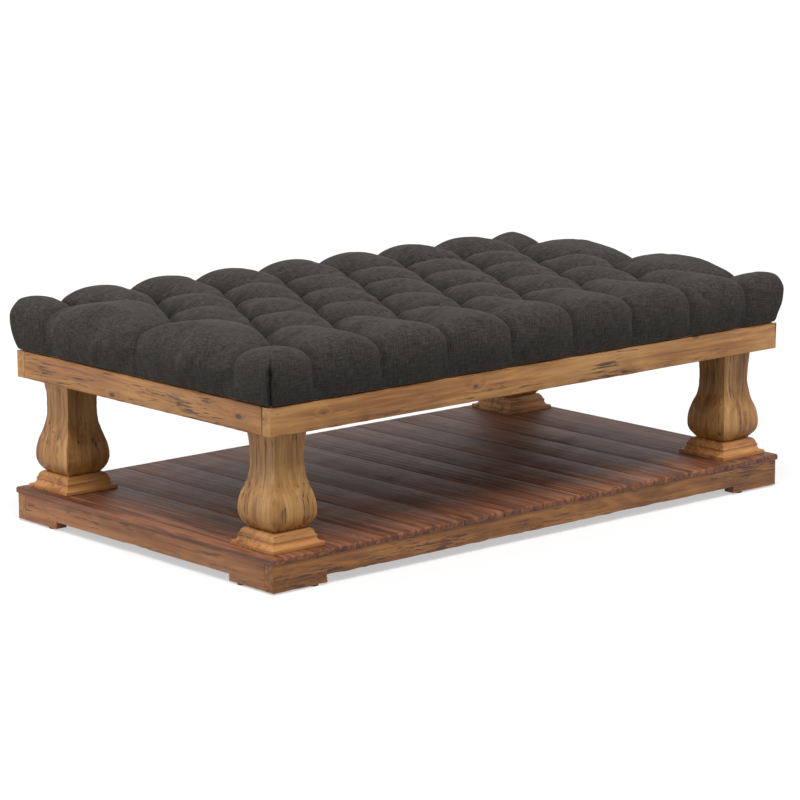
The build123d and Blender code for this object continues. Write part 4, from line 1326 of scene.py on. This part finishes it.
def seen_directly(tree):
    """1 for what the camera sees, also through glass or in a mirror, and 0 for light that bounces."""
    rays = add(tree, "ShaderNodeLightPath").node.outputs
    seen = add(tree, MATH, {0: rays["Is Camera Ray"], 1: rays["Is Transmission Ray"]}, operation="MAXIMUM")
    return add(tree, MATH, {0: seen, 1: rays["Is Glossy Ray"]}, operation="MAXIMUM")


floor_mesh = bpy.data.meshes.new("floor")
floor_mesh.from_pydata([(x * FLOOR_HALF, y * FLOOR_HALF, 0) for x, y in CORNERS], [], [(0, 1, 2, 3)])
floor = new_object("floor", floor_mesh)
paper, tree = new_material("studio_paper")
seen = seen_directly(tree)
tone = add(tree, MIX, {0: seen, 6: linear("909090"), 7: linear("ffffff")}, output=2, data_type="RGBA")
matt = add(tree, SURFACE, {"Base Color": tone, "Roughness": 0.9, "Specular IOR Level": 0.0})
glow = add(tree, "ShaderNodeEmission", {"Color": linear("ffffff"), "Strength": 1.0})
fill = add(tree, MATH, {0: seen, 1: SHADOW_FILL}, operation="MULTIPLY")
add(tree, OUTPUT, {"Surface": add(tree, "ShaderNodeMixShader", {0: fill, 1: matt, 2: glow})})
floor_mesh.materials.append(paper)
print("floor", 2 * FLOOR_HALF, "m wide")

# %% [markdown]
# ## Sky and lamps
#
# The light is soft and comes mostly from above, so the sky is dim at the horizon and brighter overhead.
# The camera sees it at full white, as it does the paper.

# %% The sky
SKY_LOW, SKY_HIGH, SKY_TOP = 0.14, 0.50, 0.8

world = bpy.data.worlds.new("studio")
scene.world = world
world.use_nodes = True
tree = world.node_tree
tree.nodes.clear()
way = add(tree, "ShaderNodeTexCoord", output="Generated")
height = add(tree, "ShaderNodeSeparateXYZ", {0: way}, output="Z")
level = add(tree, RANGE, {"Value": height, "From Min": 0.0, "From Max": SKY_TOP, "To Min": SKY_LOW,
                          "To Max": SKY_HIGH})
sky = add(tree, "ShaderNodeBackground", {"Color": linear("ffffff"), "Strength": level})
backdrop = add(tree, "ShaderNodeBackground", {"Color": linear("ffffff"), "Strength": 1.0})
both = add(tree, "ShaderNodeMixShader", {0: seen_directly(tree), 1: sky, 2: backdrop})
add(tree, "ShaderNodeOutputWorld", {"Surface": both})
print("sky from", SKY_LOW, "at the horizon to", SKY_HIGH, "overhead")

# %% [markdown]
# One broad lamp stands high at the front left, as wide in the sky as two spread hands, so its shadows have
# soft edges. Two small panels near the floor lift the shade under the table a little.


# %% The lamps
def lamp(name, kind, place, target, energy, **settings):
    """A lamp at a place, turned to a target."""
    data = bpy.data.lights.new(name, kind)
    data.energy = energy
    for setting, value in settings.items():
        setattr(data, setting, value)
    made = new_object(name, data)
    made.location = place
    made.rotation_euler = (Vector(target) - Vector(place)).to_track_quat("-Z", "Y").to_euler()
    made.visible_camera = False


lamp("key", "SUN", (-1.3, -1.5, 5.0), (0, 0, 0), 2.35, angle=radians(36))
lamp("panel_left", "AREA", (-1.9, 1.0, 0.5), (-0.6, 0.3, 0.2), 6, size=1.0)
lamp("panel_right", "AREA", (1.7, -1.5, 0.5), (0.6, -0.3, 0.2), 3, size=1.0)
scene.view_settings.view_transform = "Standard"
print("lights:", [light.name for light in bpy.data.lights])
